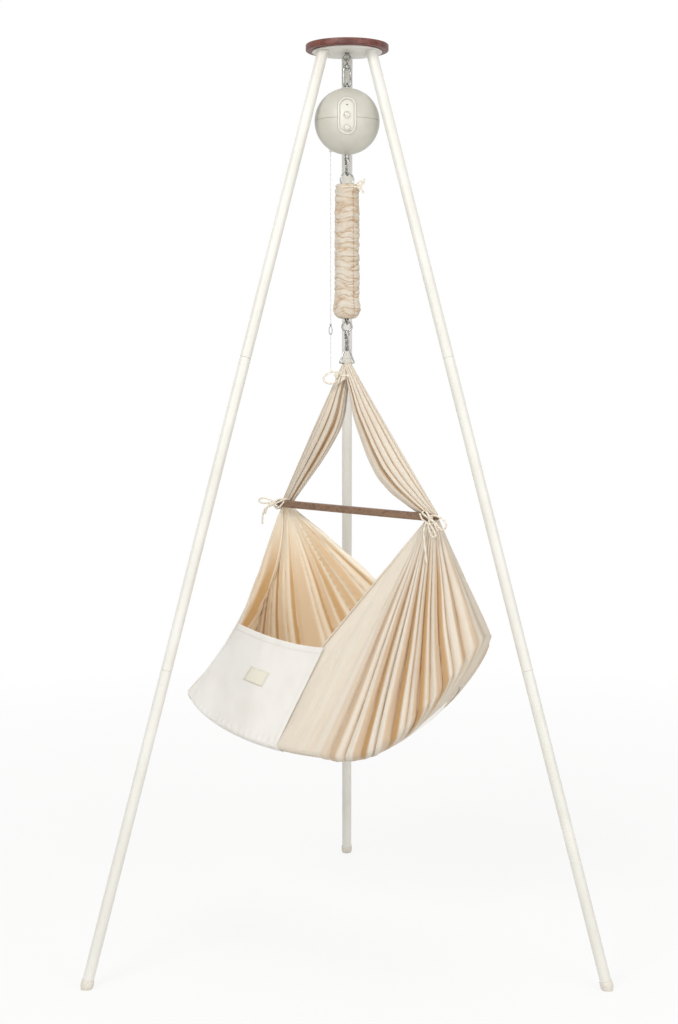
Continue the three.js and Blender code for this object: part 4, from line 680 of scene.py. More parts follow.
def makeFeet():
    bore = stand["legRadius"] + stand["play"]
    outside = bore + stand["footWall"]
    top = stand["footHeight"]
    seat = stand["footSeat"] + stand["legRadius"] * math.tan(legLean)
    for side, degrees in stand["turns"].items():
        shape = turnedShape([
            (0, -9), (outside - 3.4, -9), (outside - 2.6, 0.6), (outside - 1.4, 2.6), (outside - 0.2, 6),
            (outside, 9), (outside, top - 1), (outside - 0.4, top - 0.2), (outside - 0.9, top), (bore, top),
            (bore, seat), (0, seat),
        ], 48)
        rim = trim(ontoLeg(shape, degrees), 0, False)
        bmesh.ops.holes_fill(shape, edges=rim, sides=0)
        addPiece(f"{side}FootCap", faceOut(shape), "stand", "foot", [f"{side}_foot"])


def makeCrown():
    under, thickness, radius = stand["plateUnderside"], stand["plateThickness"], stand["plateRadius"]
    plate = turnedShape([(3.4, 0), (radius, 0), (radius, thickness), (3.4, thickness)], 128, under)
    parts = [soften(plate, 0.8, 3, 60)]
    fit, deep = stand["legRadius"] - stand["legWall"] - stand["play"], -stand["spigot"]
    for degrees in stand["turns"].values():
        spigot = turnedShape([(0, deep), (fit - 1, deep), (fit, deep + 1), (fit, 12), (0, 12)], 40, legLength)
        rim = trim(ontoLeg(spigot, degrees), under + thickness / 2, True)
        bmesh.ops.holes_fill(spigot, edges=rim, sides=0)
        parts.append(spigot)
        screw = turnedShape([(0, -1.6), (3.2, -1.6), (3.2, 0.5), (0, 0.5)], 32, under)
        parts.append(moved(soften(screw, 0.5, 3, 60), shift(stand["screwReach"], 0, 0), turn(degrees + 60)))
    addPiece("topPlate", together(*parts), "stand", "paint", ["top_plate"])
    low, top = under + thickness + stand["play"], under + stand["capThickness"]
    radius = stand["capRadius"]
    cap = turnedShape([(0, low + 12), (14, low + 12), (14, low), (radius, low), (radius, top), (0, top)], 160)
    addPiece("woodCap", soften(cap, 2.2, 4, 60), "stand", "capWood", ["wood_cap"])


makeLegs()
makeFeet()
makeCrown()
print("stand made")


# Hooks and rings. Each hook lies in its own XZ plane with its gate towards +X, then turns about Z.

chain = {
    "eyeRingZ": 1964.7, "topEyeZ": 1957.2, "loopRingZ": 1903, "springRingZ": 1703.7, "bailZ": 1384.7,
    "triangleZ": 1304.7, "triangleTurn": 20, "wire": 2.6, "eyeWire": 2, "ringWire": 1.8, "collar": 6,
    "pivotDrop": 3.6,
}
hooks = {
    "top": {"collarZ": 1949.4, "turn": 0, "width": 20, "collarHeight": 9, "tipRise": 6, "height": 48.6},
    "lift": {"collarZ": 1749.6, "turn": 110, "width": 17, "collarHeight": 7, "tipRise": 4, "height": 38.2},
    "sling": {"collarZ": 1371.9, "turn": 110, "width": 18, "collarHeight": 8, "tipRise": 4.5, "height": 42},
}


def ringShape(radius, wire, steps=72, sides=18):
    shape = bmesh.new()
    upright = shift(radius, 0, 0) @ turn(90, "X")
    made = bmesh.ops.create_circle(shape, segments=sides, radius=wire, matrix=upright)
    edges = list({e for v in made["verts"] for e in v.link_edges})
    return spunRound(shape, made["verts"] + edges, steps)


# Where a hook's gate side runs, how high the middle of its bend is, and how high its collar's foot.
def hookSizes(size):
    bend = size["width"] / 2 - chain["wire"]
    bendZ = size["collarZ"] - size["height"] + chain["wire"] + bend
    return bend, bendZ, size["collarZ"] - size["collarHeight"]


def hookShape(size):
    bend, bendZ, low = hookSizes(size)
    radius, high = chain["collar"], size["collarHeight"]
    start, pull = Vector((0.7 - radius, 0, low + 3)), Vector((-bend, 0, low + 1.3))
    shoulder = Vector((-bend, 0, low - 3))
    route = [start.lerp(pull, t / 8).lerp(pull.lerp(shoulder, t / 8), t / 8) for t in range(9)]
    route += [Vector((-bend, 0, bendZ + (low - 3 - bendZ) * (1 - i / 4))) for i in (1, 2, 3, 4)]
    for i in range(1, 25):
        angle = math.pi * i / 24
        route.append(Vector((-bend * math.cos(angle), 0, bendZ - bend * math.sin(angle))))
    route += [Vector((bend, 0, bendZ + size["tipRise"] * i / 3)) for i in (1, 2, 3)]
    body = wireShape(route, chain["wire"], fineness=5)
    collar = turnedShape([
        (0, 0), (radius - 1.2, 0), (radius - 0.3, 0.5), (radius, 1.4), (radius, 3), (radius - 0.5, 3.4),
        (radius - 0.5, 3.9), (radius, 4.3), (radius, high - 1.5), (radius - 0.4, high - 0.5),
        (radius - 1.3, high), (0, high),
    ], 48, low)
    pivotZ = low - chain["pivotDrop"]
    lug = bmesh.new()
    outline = [lug.verts.new((x, -1.2, z)) for x, z in (
        (0, low + 5.5), (radius - 0.4, low + 5.5), (bend + 2.8, pivotZ + 1.8), (bend + 2.9, pivotZ),
        (bend + 2, pivotZ - 2.1), (bend, pivotZ - 2.9), (bend - 2, pivotZ - 2.1), (bend - 2.9, pivotZ),
        (bend - 2.9, low), (0, low))]
    face = lug.faces.new(outline)
    pulled = bmesh.ops.extrude_face_region(lug, geom=[face])["geom"]
    verts = [v for v in pulled if isinstance(v, bmesh.types.BMVert)]
    bmesh.ops.translate(lug, verts=verts, vec=(0, 2.4, 0))
    return together(body, collar, soften(faceOut(lug), 0.35, 2, 60))


def gateShape(size):
    bend, bendZ, low = hookSizes(size)
    pivotZ = low - chain["pivotDrop"]
    tip = bendZ + size["tipRise"] + 0.3
    bar = turnedShape([(0, tip), (1.6, tip), (2.1, tip + 0.5), (2.1, pivotZ - 3.4), (1.9, pivotZ - 2.8),
                       (0, pivotZ - 2.6)], 32)
    moved(bar, shift(bend, 0, 0))
    cheeks = []
    for side in (-1, 1):
        cheek = turnedShape([(0, 1.5), (3.2, 1.5), (3.2, 3.2), (1.3, 3.2), (1.1, 3.5), (0, 3.6)], 40)
        soften(cheek, 0.3, 2, 60)
        cheeks.append(moved(cheek, turn(90 * side, "X"), shift(bend, 0, pivotZ)))
    return together(bar, *cheeks)


def makeHook(kind, body):
    size = hooks[kind]
    hook = moved(hookShape(size), turn(size["turn"]))
    addPiece(f"{kind}SnapHook", hook, body, "steel", [f"{kind}_snap_hook"])
    gate = moved(gateShape(size), turn(size["turn"]))
    addPiece(f"{kind}HookGate", gate, f"{kind}_gate", "steel", [f"{kind}_hook_gate"])


# A ring on a stem, which a button holds in the collar of the hook below.
def eyeShape(ring, eyeZ, size):
    wire, button, foot = chain["eyeWire"], 3.4, size["collarZ"] - size["collarHeight"] - 0.4
    loop = moved(ringShape(ring, wire), turn(90, "Y"), shift(0, 0, eyeZ))
    stem = turnedShape([(0, foot - 2.2), (button, foot - 2.2), (button, foot), (wire, foot + 0.2),
                        (wire, eyeZ - ring), (0, eyeZ - ring)], 32)
    return together(loop, soften(stem, 0.3, 2, 60))


def makeChain():
    c = chain
    under, middle = stand["plateUnderside"], c["eyeRingZ"]
    eye = moved(ringShape(6.5, c["eyeWire"]), turn(90, "X"), shift(0, 0, middle))
    stem = turnedShape([(0, middle + 6), (2.3, middle + 6.5), (2, under - 1.5), (0, under - 1.5)], 32)
    flange = turnedShape([(0, -1.8), (5.5, -1.8), (5.5, -0.3), (3, -0.3), (3, 15), (0, 15)], 48, under)
    bolt = together(eye, stem, soften(flange, 0.3, 2, 60))
    addPiece("eyeBolt", bolt, "stand", "steel", ["eye_bolt"])
    top = eyeShape(5.5, c["topEyeZ"], hooks["top"])
    addPiece("topSwivelEye", top, "swivel_eye", "steel", ["top_swivel_eye"])
    makeHook("top", "top_hook")
    makeHook("lift", "hanger")
    ring = ringShape(15.2, c["ringWire"], 96)
    moved(ring, turn(90, "X"), turn(hooks["lift"]["turn"] - 90), shift(0, 0, c["springRingZ"]))
    addPiece("springRing", ring, "hanger", "steel", ["spring_ring"])
    bail = moved(eyeShape(10.5, c["bailZ"], hooks["sling"]), turn(90))
    addPiece("swivelBail", bail, "spring_foot", "steel", ["swivel_bail"])
    makeHook("sling", "sling_hook")
    right = [(13.2, 0), (16.2, 1), (16.0, 3.4), (10.5, 16.4), (4.8, 29.5), (2.4, 32)]
    corners = [(-13.2, 0, 0), (0, 0, 0)] + [(x, 0, z) for x, z in right] + [(0, 0, 32.7)]
    corners += [(-x, 0, z) for x, z in right[:0:-1]]
    triangle = wireShape(smoothRun(corners, 6, True), c["ringWire"], closed=True, fineness=5)
    moved(triangle, turn(c["triangleTurn"]), shift(0, 0, c["triangleZ"]))
    addPiece("triangleRing", triangle, "sling", "steel", ["triangle_ring"])


makeChain()
print("hooks and rings made")


# Motor ball

ball = {
    "z": 1828.9, "radius": 71, "wall": 3, "segments": 128, "rings": 72,
    "pillWidth": 42, "pillHeight": 82, "pillRise": 4, "faceDepth": 3.5, "faceInset": 14,
    "buttons": {"power": 4.5, "speed": -21.5}, "lampRise": 27,
    "holes": {"top": 9.2, "bush": 8.3, "line": 3.8, "inlet": 6.3, "inletRise": -25},
}


# How far the pill's outline is from its middle in one direction of the XZ plane.
def pillReach(angle, width, height):
    radius = width / 2
    straight = height / 2 - radius
    c, s = abs(math.cos(angle)), abs(math.sin(angle))
    if c > 1e-9 and radius * s / c <= straight:
        return radius / c
    along = s * straight
    return along + math.sqrt(along ** 2 - straight ** 2 + radius ** 2)


# The points of the pill's outline, drawn in by an inset or a scale, at a depth under the ball's surface.
def pillRing(inset, depth, scale=1.0):
    b = ball
    radius = b["radius"] - depth
    points = []
    for step in range(b["segments"]):
        angle = 2 * math.pi * step / b["segments"]
        reach = pillReach(angle, b["pillWidth"] - 2 * inset, b["pillHeight"] - 2 * inset) * scale
        x, z = reach * math.cos(angle), reach * math.sin(angle) + b["pillRise"]
        points.append(Vector((x, -math.sqrt(radius ** 2 - x * x - z * z), z)))
    return points


# Rings of points, each pulled out of the one before.
def pulledRings(rings, fill=False):
    shape = bmesh.new()
    made = bmesh.ops.create_circle(shape, segments=ball["segments"], radius=1, cap_ends=False)
    verts = list(made["verts"])
    edges = list(shape.edges)
    for number, ring in enumerate(rings):
        if number:
            pulled = bmesh.ops.extrude_edge_only(shape, edges=edges)["geom"]
            edges = [e for e in pulled if isinstance(e, bmesh.types.BMEdge)]
            verts = [v for v in pulled if isinstance(v, bmesh.types.BMVert)]
            order = {}
            for vert in verts:
                near = min(range(len(before)), key=lambda i: (before[i] - vert.co).length_squared)
                order[near] = vert
            verts = [order[i] for i in range(len(before))]
        else:
            verts.sort(key=lambda v: math.atan2(v.co.y, v.co.x) % (2 * math.pi))
        for vert, point in zip(verts, ring):
            vert.co = point
        before = [p.copy() for p in ring]
    closeUp(shape)
    if fill:
        bmesh.ops.holes_fill(shape, edges=[e for e in shape.edges if e.is_boundary], sides=0)
        faceOut(shape)
    return shape


def drill(radius, low, high):
    return turnedShape([(0, low), (radius, low), (radius, high), (0, high)], 64)


def makeShells():
    b = ball
    start = [p.normalized() for p in pillRing(0, 0)]
    back = Vector((0, 1, 0))
    rings = [[p.slerp(back, k / b["rings"]) * b["radius"] for p in start] for k in range(b["rings"])]
    rings.append([back * b["radius"] for _ in start])
    size = b["holes"]
    holes = {
        "upperShell": [drill(size["top"], 50, 90)],
        "lowerShell": [
            drill(size["bush"], -90, -50), moved(drill(size["line"], -80, -40), shift(safetyLine["x"], 0, 0)),
            moved(drill(size["inlet"], 50, 90), turn(-90, "X"), shift(0, 0, size["inletRise"])),
        ],
    }
    for name, node, above in (("upperShell", "upper_shell", False), ("lowerShell", "lower_shell", True)):
        shape = pulledRings(rings)
        trim(shape, -0.4 if above else 0.4, above)
        bmesh.ops.solidify(shape, geom=shape.faces[:], thickness=b["wall"])
        faceOut(shape)
        soften(shape, 1.3, 3, 55)
        for cutter in holes[name]:
            shape = carve(shape, cutter)
        moved(shape, shift(0, 0, b["z"]))
        addPiece(name, shape, "motor", "shell", [node], sharp=50)


# The dark line of the seam is the lip of the lower shell, seen between the two; the lip's dark colour is
# painted shade of the groove.
def makeSeam():
    lip = turnedShape([(66.5, -2.4), (70.1, -2.4), (70.3, 0), (70.1, 2.4), (66.5, 2.4)], 160)
    pill = bmesh.new()
    size = Matrix.Diagonal((ball["pillWidth"] - 2, 60, 20, 1))
    bmesh.ops.create_cube(pill, size=1, matrix=shift(0, -70, 0) @ size)
    lip = carve(lip, pill)
    addPiece("seamLip", moved(lip, shift(0, 0, ball["z"])), "motor", "seamShade")


# Where the panel's face is, at a height above the ball's middle.
def faceFront(rise):
    return -math.sqrt((ball["radius"] - ball["faceDepth"]) ** 2 - rise ** 2)


def makePanel():
    b = ball
    steps = [
        (14, 5.4), (4, 5.4), (0.5, 5.2), (0.5, 0.7), (0.75, -0.2), (1.3, -0.8), (2.2, -1.15), (3.2, -1.1),
        (4.0, -0.6), (4.5, 0.4), (4.8, 1.9), (5.0, 3.5), (5.5, 4.3), (6.3, 4.3), (7.2, 3.7), (9, 3.5),
        (11, 3.5), (14, 3.5),
    ]
    rings = [pillRing(b["faceInset"], 5.4, scale) for scale in (0.3, 0.7)]
    rings += [pillRing(inset, depth) for inset, depth in steps]
    rings += [pillRing(b["faceInset"], b["faceDepth"], scale) for scale in (0.7, 0.4, 0.15, 0.0)]
    parts = [pulledRings(rings, True)]
    radius = b["radius"] - b["faceDepth"]
    profile = [(6.8, -1), (6.8, 0.7), (7.1, 1.15), (7.7, 1.2), (8.3, 0.8), (8.6, 0.1), (8.6, -1)]
    for rise in b["buttons"].values():
        collar = turnedShape(profile, 56)
        lean = -math.degrees(math.asin(rise / radius))
        parts.append(moved(collar, turn(90, "X"), turn(lean, "X"), shift(0, faceFront(rise), rise)))
    shape = moved(together(*parts), shift(0, 0, b["z"]))
    addPiece("controlPanel", shape, "motor", "face", ["control_panel"])
    profile = [(0, 3.0), (1.6, 2.95), (3.2, 2.7), (4.6, 2.2), (5.5, 1.5), (6.0, 0.7), (6.2, -0.2), (6.3, -4),
               (0, -4)]
    for name, rise in b["buttons"].items():
        cap = turnedShape(profile, 64)
        moved(cap, turn(90, "X"), shift(0, faceFront(rise), rise + b["z"]))
        addPiece(f"{name}Button", cap, f"{name}_key", "knob", [f"{name}_button"])
    lens = turnedShape([(0, 1), (0.7, 0.9), (1.3, 0.55), (1.7, 0), (1.8, -2), (0, -2)], 32)
    moved(lens, turn(90, "X"), shift(0, faceFront(b["lampRise"]), b["lampRise"] + b["z"]))
    addPiece("statusLamp", lens, "motor", "lamp", ["status_lamp"])


def makeMotorLoop():
    top = ball["z"] + ball["radius"] - 0.6
    ring = moved(ringShape(6, 2.5, 72, 20), turn(90, "Y"), shift(0, 0, chain["loopRingZ"]))
    puck = turnedShape([(0, -14), (12, -14), (12, -12), (8.9, -12), (8.9, -1.6), (0, -1.6)], 64, top)
    collar = turnedShape([(8.9, -3), (8.9, 1), (9.6, 1.2), (11, 0.6), (12.4, -0.9), (12.4, -3)], 64, top)
    loop = together(ring, soften(puck, 0.4, 2, 60))
    addPiece("motorLoop", loop, "motor", "steel", ["motor_loop"])
    addPiece("loopWasher", collar, "motor", "face")


makeShells()
makeSeam()
makePanel()
makeMotorLoop()
# Small and hidden parts keep the CAD's own shapes and only get a finish.
plainParts = {
    "works": ("chassis", "gear_motor", "crank_wheel", "lift_rod", "eye_nut"),
    "knob": ("guide_bush", "line_guide"), "black": ("pull_strap", "power_inlet"), "board": ("circuit_board",),
}
for finish, names in plainParts.items():
    for name in names:
        nodes[name].data.materials.clear()
        nodes[name].data.materials.append(finishes[finish])
print("motor ball made")


# Spring and its bunched cover

spring = {
    "wire": 2.2, "radius": 15, "curls": 30, "steps": 10, "loop": 7, "shoulder": 9, "topLoopZ": 1693,
    "lowLoopZ": 1390.5, "turn": 20,
}


def makeSpring():
    s = spring
    topCentre, lowCentre = s["topLoopZ"] - s["loop"], s["lowLoopZ"] + s["loop"]
    topCurl, lowCurl = topCentre - s["shoulder"], lowCentre + s["shoulder"]

    def endLoop(centre, up):
        angles = [math.pi * i / 8 for i in range(9)]
        arc = [Vector((0, s["loop"] * math.cos(a), centre + up * s["loop"] * math.sin(a))) for a in angles]
        return arc + [Vector((0, -3.5, centre - up * 5.25))]

    def bridge(centre, curl):
        return [Vector((0, y, curl + (centre - curl) * part)) for y, part in ((13.5, 0.35), (9.75, 0.7))]

    run = endLoop(topCentre, 1)[::-1] + bridge(topCentre, topCurl)[::-1]
    count = s["curls"] * s["steps"]
    for i in range(count + 1):
        angle = math.pi / 2 + 2 * math.pi * i / s["steps"]
        height = topCurl + (lowCurl - topCurl) * i / count
        run.append(Vector((s["radius"] * math.cos(angle), s["radius"] * math.sin(angle), height)))
    run += bridge(lowCentre, lowCurl) + endLoop(lowCentre, -1)
    shape = moved(wireShape(smoothRun(run, 3), s["wire"]), turn(s["turn"]))
    piece = addPiece("springCoil", shape, None, "steel", ["spring_coil"])
    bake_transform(piece)


sleeve = {
    "top": 1694, "low": 1403, "radius": 23.6, "neck": 18, "neckHeight": 10, "foot": 14, "footHeight": 14,
    "tieZ": 1686, "pitch": 9.5, "wrinkle": 3.9, "seamTurn": -56,
}


# Rolls of bunched cloth: rounded on top, with a sharp crease where two of them meet.
def rollAt(value):
    return min(1, abs(value) * 2.7) ** 0.62


def sleevePoint(u, v):
    s = sleeve
    angle = 2 * math.pi * u
    z = s["low"] + (s["top"] - s["low"]) * v
    c, d = math.cos(angle), math.sin(angle)
    wander = noiseAt(c * 0.9, d * 0.9, z / 46) * 8
    wander += noiseAt(c * 2, d * 2, z / 80) * 3
    first = rollAt(noiseAt(c * 0.6, d * 0.6, (z + wander) / s["pitch"]))
    second = rollAt(noiseAt(c * 1.1 + 7, d * 1.1, (z + wander * 1.4) / (s["pitch"] * 0.62)))
    height = (first * 0.7 + second * 0.3) * s["wrinkle"]
    fromSeam = math.remainder(angle - math.radians(s["seamTurn"]), 2 * math.pi)
    pucker = math.sin(z * 1.05 + 3 * noiseAt(z / 9, 1, 2))
    height += bell(fromSeam, 0.28) * 0.9 * pucker - bell(fromSeam, 0.06) * 1.6
    toTop, toLow = s["top"] - z, z - s["low"]
    bulge = 3.4 * bell(toLow, 13, 22) - 2.2 * bell(toTop, 6, 24)
    radius = s["radius"] + height + bulge - 3.2 * bell(z, 2.6, s["tieZ"])
    if toLow < s["footHeight"]:
        radius = s["foot"] + (radius - s["foot"]) * math.sqrt(1 - (1 - toLow / s["footHeight"]) ** 2)
    if toTop < s["neckHeight"]:
        radius = s["neck"] + (radius - s["neck"]) * math.sqrt(1 - (1 - toTop / s["neckHeight"]) ** 2)
    # Painted shade: darker deep between the rolls, and along the seam's crease.
    fold = 1 - (first * 0.65 + second * 0.35) ** 1.3
    tone = 0.16 + 0.7 * fold ** 1.7 + 0.25 * bell(fromSeam, 0.08)
    return Vector((radius * c, radius * d, z)), min(1, tone), noHem


def makeSleeve():
    shape = clothSheet(174, 276, sleevePoint, (0.3, 0.62), closed=True)
    piece = addPiece("springCover", shape, None, "canvas", ["spring_cover"], sharp=None)
    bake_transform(piece)
    thicken(piece, 1.2, "insidePaintedLight")


makeSpring()
makeSleeve()
print("spring and cover made")


# Sling. Its own place is beside the axis and turned. Its lowest floor is at z = 0 and its ring at "hang".

sling = {
    "place": (8, 0, 462), "turn": 28, "hang": 842.7, "headReach": 320, "footReach": 392, "halfWidth": 155,
    "headSquareness": 2.6, "footSquareness": 3.2, "headRise": 253, "footRise": 85, "headRoll": 0.2,
    "pocket": 26, "risePower": 2.2, "footDraw": 62, "headBelly": -3,
}
slingFrame = toFrame @ shift(*sling["place"]) @ turn(-sling["turn"])
bar = {"length": 436, "size": 16, "edge": 3, "rise": 516, "tilt": 0.015, "turn": -10, "x": 6, "y": 3}
bunch = {"headAlong": 203, "footAlong": -210, "wide": 12, "deep": 7.5, "drop": 3, "behind": 17.5}
hem = {
    "panelLeft": (-224, -103, 257), "panelRight": (-12, -116, 224), "farLow": (40, 105, 324), "panelSag": 9,
}
# Places round the rim, as shares of the way round.
shares = {
    "hemNear": -0.291, "nearFan": -0.235, "farFan": 0.17, "farLow": 0.25, "footFan": 0.33, "footNear": 0.52,
    "panelLeft": 0.563,
}


def clampSmooth(value):
    t = min(max(value, 0), 1)
    return t * t * (3 - 2 * t)


def makeOutline():
    points, lengths = [], [0]
    for i in range(721):
        c, s = math.cos(math.pi * i / 360), math.sin(math.pi * i / 360)
        end = "head" if c > 0 else "foot"
        power = 2 / sling[end + "Squareness"]
        x = sling[end + "Reach"] * math.copysign(abs(c) ** power, c)
        points.append(Vector((x, sling["halfWidth"] * math.copysign(abs(s) ** power, s))))
        if i:
            lengths.append(lengths[-1] + (points[-1] - points[-2]).length)
    return points, lengths


outlinePoints, outlineLengths = makeOutline()
known = {}


def outlineAt(share):
    wanted = (share % 1) * outlineLengths[-1]
    low, high = 1, 720
    while low < high:
        middle = (low + high) // 2
        if outlineLengths[middle] < wanted:
            low = middle + 1
        else:
            high = middle
    part = (wanted - outlineLengths[low - 1]) / (outlineLengths[low] - outlineLengths[low - 1])
    return outlinePoints[low - 1].lerp(outlinePoints[low], part)


def floorHeight(x, y):
    head, foot = max(x, 0) / sling["headReach"], max(-x, 0) / sling["footReach"]
    power = sling["risePower"]
    rise = sling["headRise"] * head ** power + sling["footRise"] * foot ** power
    return rise + sling["headRoll"] * y * head


# How high the pocket is under a point that lies at a share of the way out to the rim.
def pocketHeight(p, q):
    return floorHeight(p.x, p.y) - sling["pocket"] * math.sqrt(max(0, 1 - q ** 4))


def pocketPoint(share, q):
    p = outlineAt(share) * q
    return Vector((p.x, p.y, pocketHeight(p, q)))


def barPoint(along, across, up):
    c, s = math.cos(math.radians(bar["turn"])), math.sin(math.radians(bar["turn"]))
    x, y = bar["x"] + along * c - across * s, bar["y"] + along * s + across * c
    return Vector((x, y, bar["rise"] - along * bar["tilt"] + up))


headBunch = barPoint(bunch["headAlong"], bunch["behind"], -bunch["drop"])
footBunch = barPoint(bunch["footAlong"], bunch["behind"], -bunch["drop"])


# What a column of cloth needs: its rim point, its outward direction, its top and its fullness.
def column(share):
    key = round(share, 6)
    if key in known:
        return known[key]
    p = outlineAt(share)
    rim = Vector((p.x, p.y, floorHeight(p.x, p.y)))
    along = (outlineAt(share + 1 / 720) - outlineAt(share - 1 / 720)).normalized()
    outward = Vector((along.y, -along.x, 0))

    def edgeOf(centre):
        away = Vector((rim.x - centre.x, rim.y - centre.y, 0)).normalized()
        bearing = math.radians(bar["turn"])
        alongBar = Vector((math.cos(bearing), math.sin(bearing), 0))
        acrossBar = Vector((-alongBar.y, alongBar.x, 0))
        wide, deep = away.dot(alongBar), away.dot(acrossBar)
        return centre + alongBar * wide * bunch["wide"] + acrossBar * deep * bunch["deep"]

    s = shares
    head, foot, low = edgeOf(headBunch), edgeOf(footBunch), Vector(hem["farLow"])
    if share < s["nearFan"]:
        part = (share - s["hemNear"]) / (s["nearFan"] - s["hemNear"])
        top, fan = Vector(hem["panelRight"]).lerp(head, clampSmooth(part) ** 0.6), clampSmooth(part) ** 1.5
    elif share < s["farFan"]:
        top, fan = head, 1
    elif share < s["farLow"]:
        part = clampSmooth((share - s["farFan"]) / (s["farLow"] - s["farFan"]))
        top, fan = head.lerp(low, part ** 1.8), (1 - part) ** 1.5
    elif share < s["footFan"]:
        part = clampSmooth((share - s["farLow"]) / (s["footFan"] - s["farLow"]))
        top, fan = low.lerp(foot, part ** 0.5), part ** 1.5
    elif share < s["footNear"]:
        top, fan = foot, 1
    else:
        part = clampSmooth((share - s["footNear"]) / (s["panelLeft"] - s["footNear"]))
        top, fan = foot.lerp(Vector(hem["panelLeft"]), part), (1 - part) ** 2
    nearEnd = clampSmooth((s["panelLeft"] - share) / 0.045) if share > s["footFan"] else 1
    drawn = nearEnd * clampSmooth((-math.cos(2 * math.pi * share) - 0.35) / 0.5)
    belly = sling["headBelly"] * clampSmooth(math.cos(2 * math.pi * share)) - sling["footDraw"] * drawn
    known[key] = rim, outward, top, belly, fan
    return known[key]


# Where the folds begin, as shares of the way round the rim, and how they stand. Widths and puckers are
# counted by a rim length of about the real one.
folds = {
    "at": [
        -0.33, -0.291, -0.262, -0.235, -0.212, -0.189, -0.168, -0.148, -0.129, -0.111, -0.0975, -0.082,
        -0.066, -0.052, -0.035, -0.011, 0.014, 0.04, 0.068, 0.096, 0.122, 0.147, 0.17, 0.19, 0.208, 0.224,
        0.24, 0.258, 0.274, 0.289, 0.303, 0.318, 0.335, 0.353, 0.37, 0.388, 0.405, 0.423, 0.44, 0.457,
        0.474, 0.491, 0.508, 0.525, 0.543, 0.563, 0.6,
    ],
    "deep": 19, "flute": 3.2, "pucker": 1.9, "wrap": 0.13, "rimLength": 1796,
    "spokeFrom": 82.5, "spokeStep": 0.0025, "spokeDown": 508, "spokeAcross": 232,
}


# The far wall's folds are spokes of the foot gather: the share of a point's own spoke, how far along it
# the point is, and how much of the fold shows there.
def spokeAt(share, s, base):
    if not shares["farLow"] <= share < shares["footFan"]:
        return share, s, 1
    gapX, gapZ = base.x - footBunch.x, footBunch.z - base.z
    angle = math.atan2(gapZ, gapX)
    lean = math.degrees(angle)
    reach = min(folds["spokeDown"] / math.sin(angle), folds["spokeAcross"] / max(0.05, math.cos(angle)))
    along = min(max(1 - math.hypot(gapX, gapZ) / reach, 0), 1)
    part = clampSmooth((shares["footFan"] - share) / 0.02)
    spoke = min(shares["footFan"], shares["footFan"] - (folds["spokeFrom"] - lean) * folds["spokeStep"])
    return spoke, s + (along - s) * part, clampSmooth((share - shares["farLow"]) / 0.014)


# Which fold a place lies in, how far through it, and the same with the crest moved off the fold's middle.
def foldPlace(marks, place, sway, phase, pace):
    i = max(k for k in range(len(marks) - 1) if marks[k] <= place or k == 0)
    along = min(max((place - marks[i]) / (marks[i + 1] - marks[i]), 0), 1)
    crest = 0.5 + sway * math.sin(i * pace + phase)
    x = 0.5 * along / crest if along < crest else 0.5 + 0.5 * (along - crest) / (1 - crest)
    return i, along, x


# Small puckers along a seam, which fade out away from it.
def puckers(share, period, wander, place, away, fade):
    phase = share * folds["rimLength"] / period + wander * noiseAt(*place)
    return math.sin(phase) * bell(away, fade)


# How far a fold stands out, in millimetres, and how much painted shade the point gets in its valley.
def foldAt(share, s, fan):
    drift = 0.0048 * noiseAt(share * 22, s * 2.4, 3) * math.sin(math.pi * s)
    at = folds["at"]
    i, along, x = foldPlace(at, share + drift, 0.27, 0, 2.4)
    swell = math.sin(math.pi * x)
    body = swell ** (0.62 + 0.3 * math.sin(i * 1.3) ** 2)
    strength = 0.7 + 0.3 * math.sin(i * 1.9 + 1)
    lively = clampSmooth((share + 0.26) / 0.1) * clampSmooth((0.575 - share) / 0.04)
    width = (at[i + 1] - at[i]) * folds["rimLength"] * (1 - s) + 5 * s
    rise = math.sin(math.pi * min(1, s ** 0.62)) ** 0.7
    depth = folds["deep"] * strength * rise * (0.2 + 0.8 * lively) + folds["flute"] * fan * s ** 4
    depth = min(depth, width * 0.72)
    second = 1 - 2 * abs((x * 3 + noiseAt(share * 40, s * 3, 8)) % 1 - 0.5)
    small = (second - 0.5) * min(2.4, width * 0.12) * rise * (0.35 + 0.65 * lively)
    pucker = folds["pucker"] * puckers(share, 2.1, 2, (share * 50, 0, 0), s, 0.07)
    # the long side of a fold lies in shade up to the next one
    leeward = along if math.sin(i * 2.9 + 0.4) > -0.3 else 1 - along
    tone = (0.58 + 0.42 * math.sin(i * 1.7 + 0.6) ** 2) * (0.2 + 0.8 * lively)
    tone *= 1 - 0.5 * clampSmooth((share + 0.05) / 0.06) * clampSmooth((0.27 - share) / 0.05)
    paintedShade = clampSmooth((leeward - 0.3) / 0.34) * clampSmooth((1.02 - leeward) / 0.06)
    paintedShade = max(paintedShade, (1 - swell ** 0.7) * 0.9)
    middle = clampSmooth((s + 0.03) / 0.1) * clampSmooth((1.12 - s) / 0.5)
    return (body - 0.55) * depth + small + pucker, paintedShade * tone * middle


# How far down over the pocket the wall reaches before its seam.
def seamReach(share):
    near = clampSmooth((share + 0.24) / 0.08)
    far = clampSmooth((share - 0.05) / 0.1)
    return 0.985 - 0.185 * near + 0.12 * far


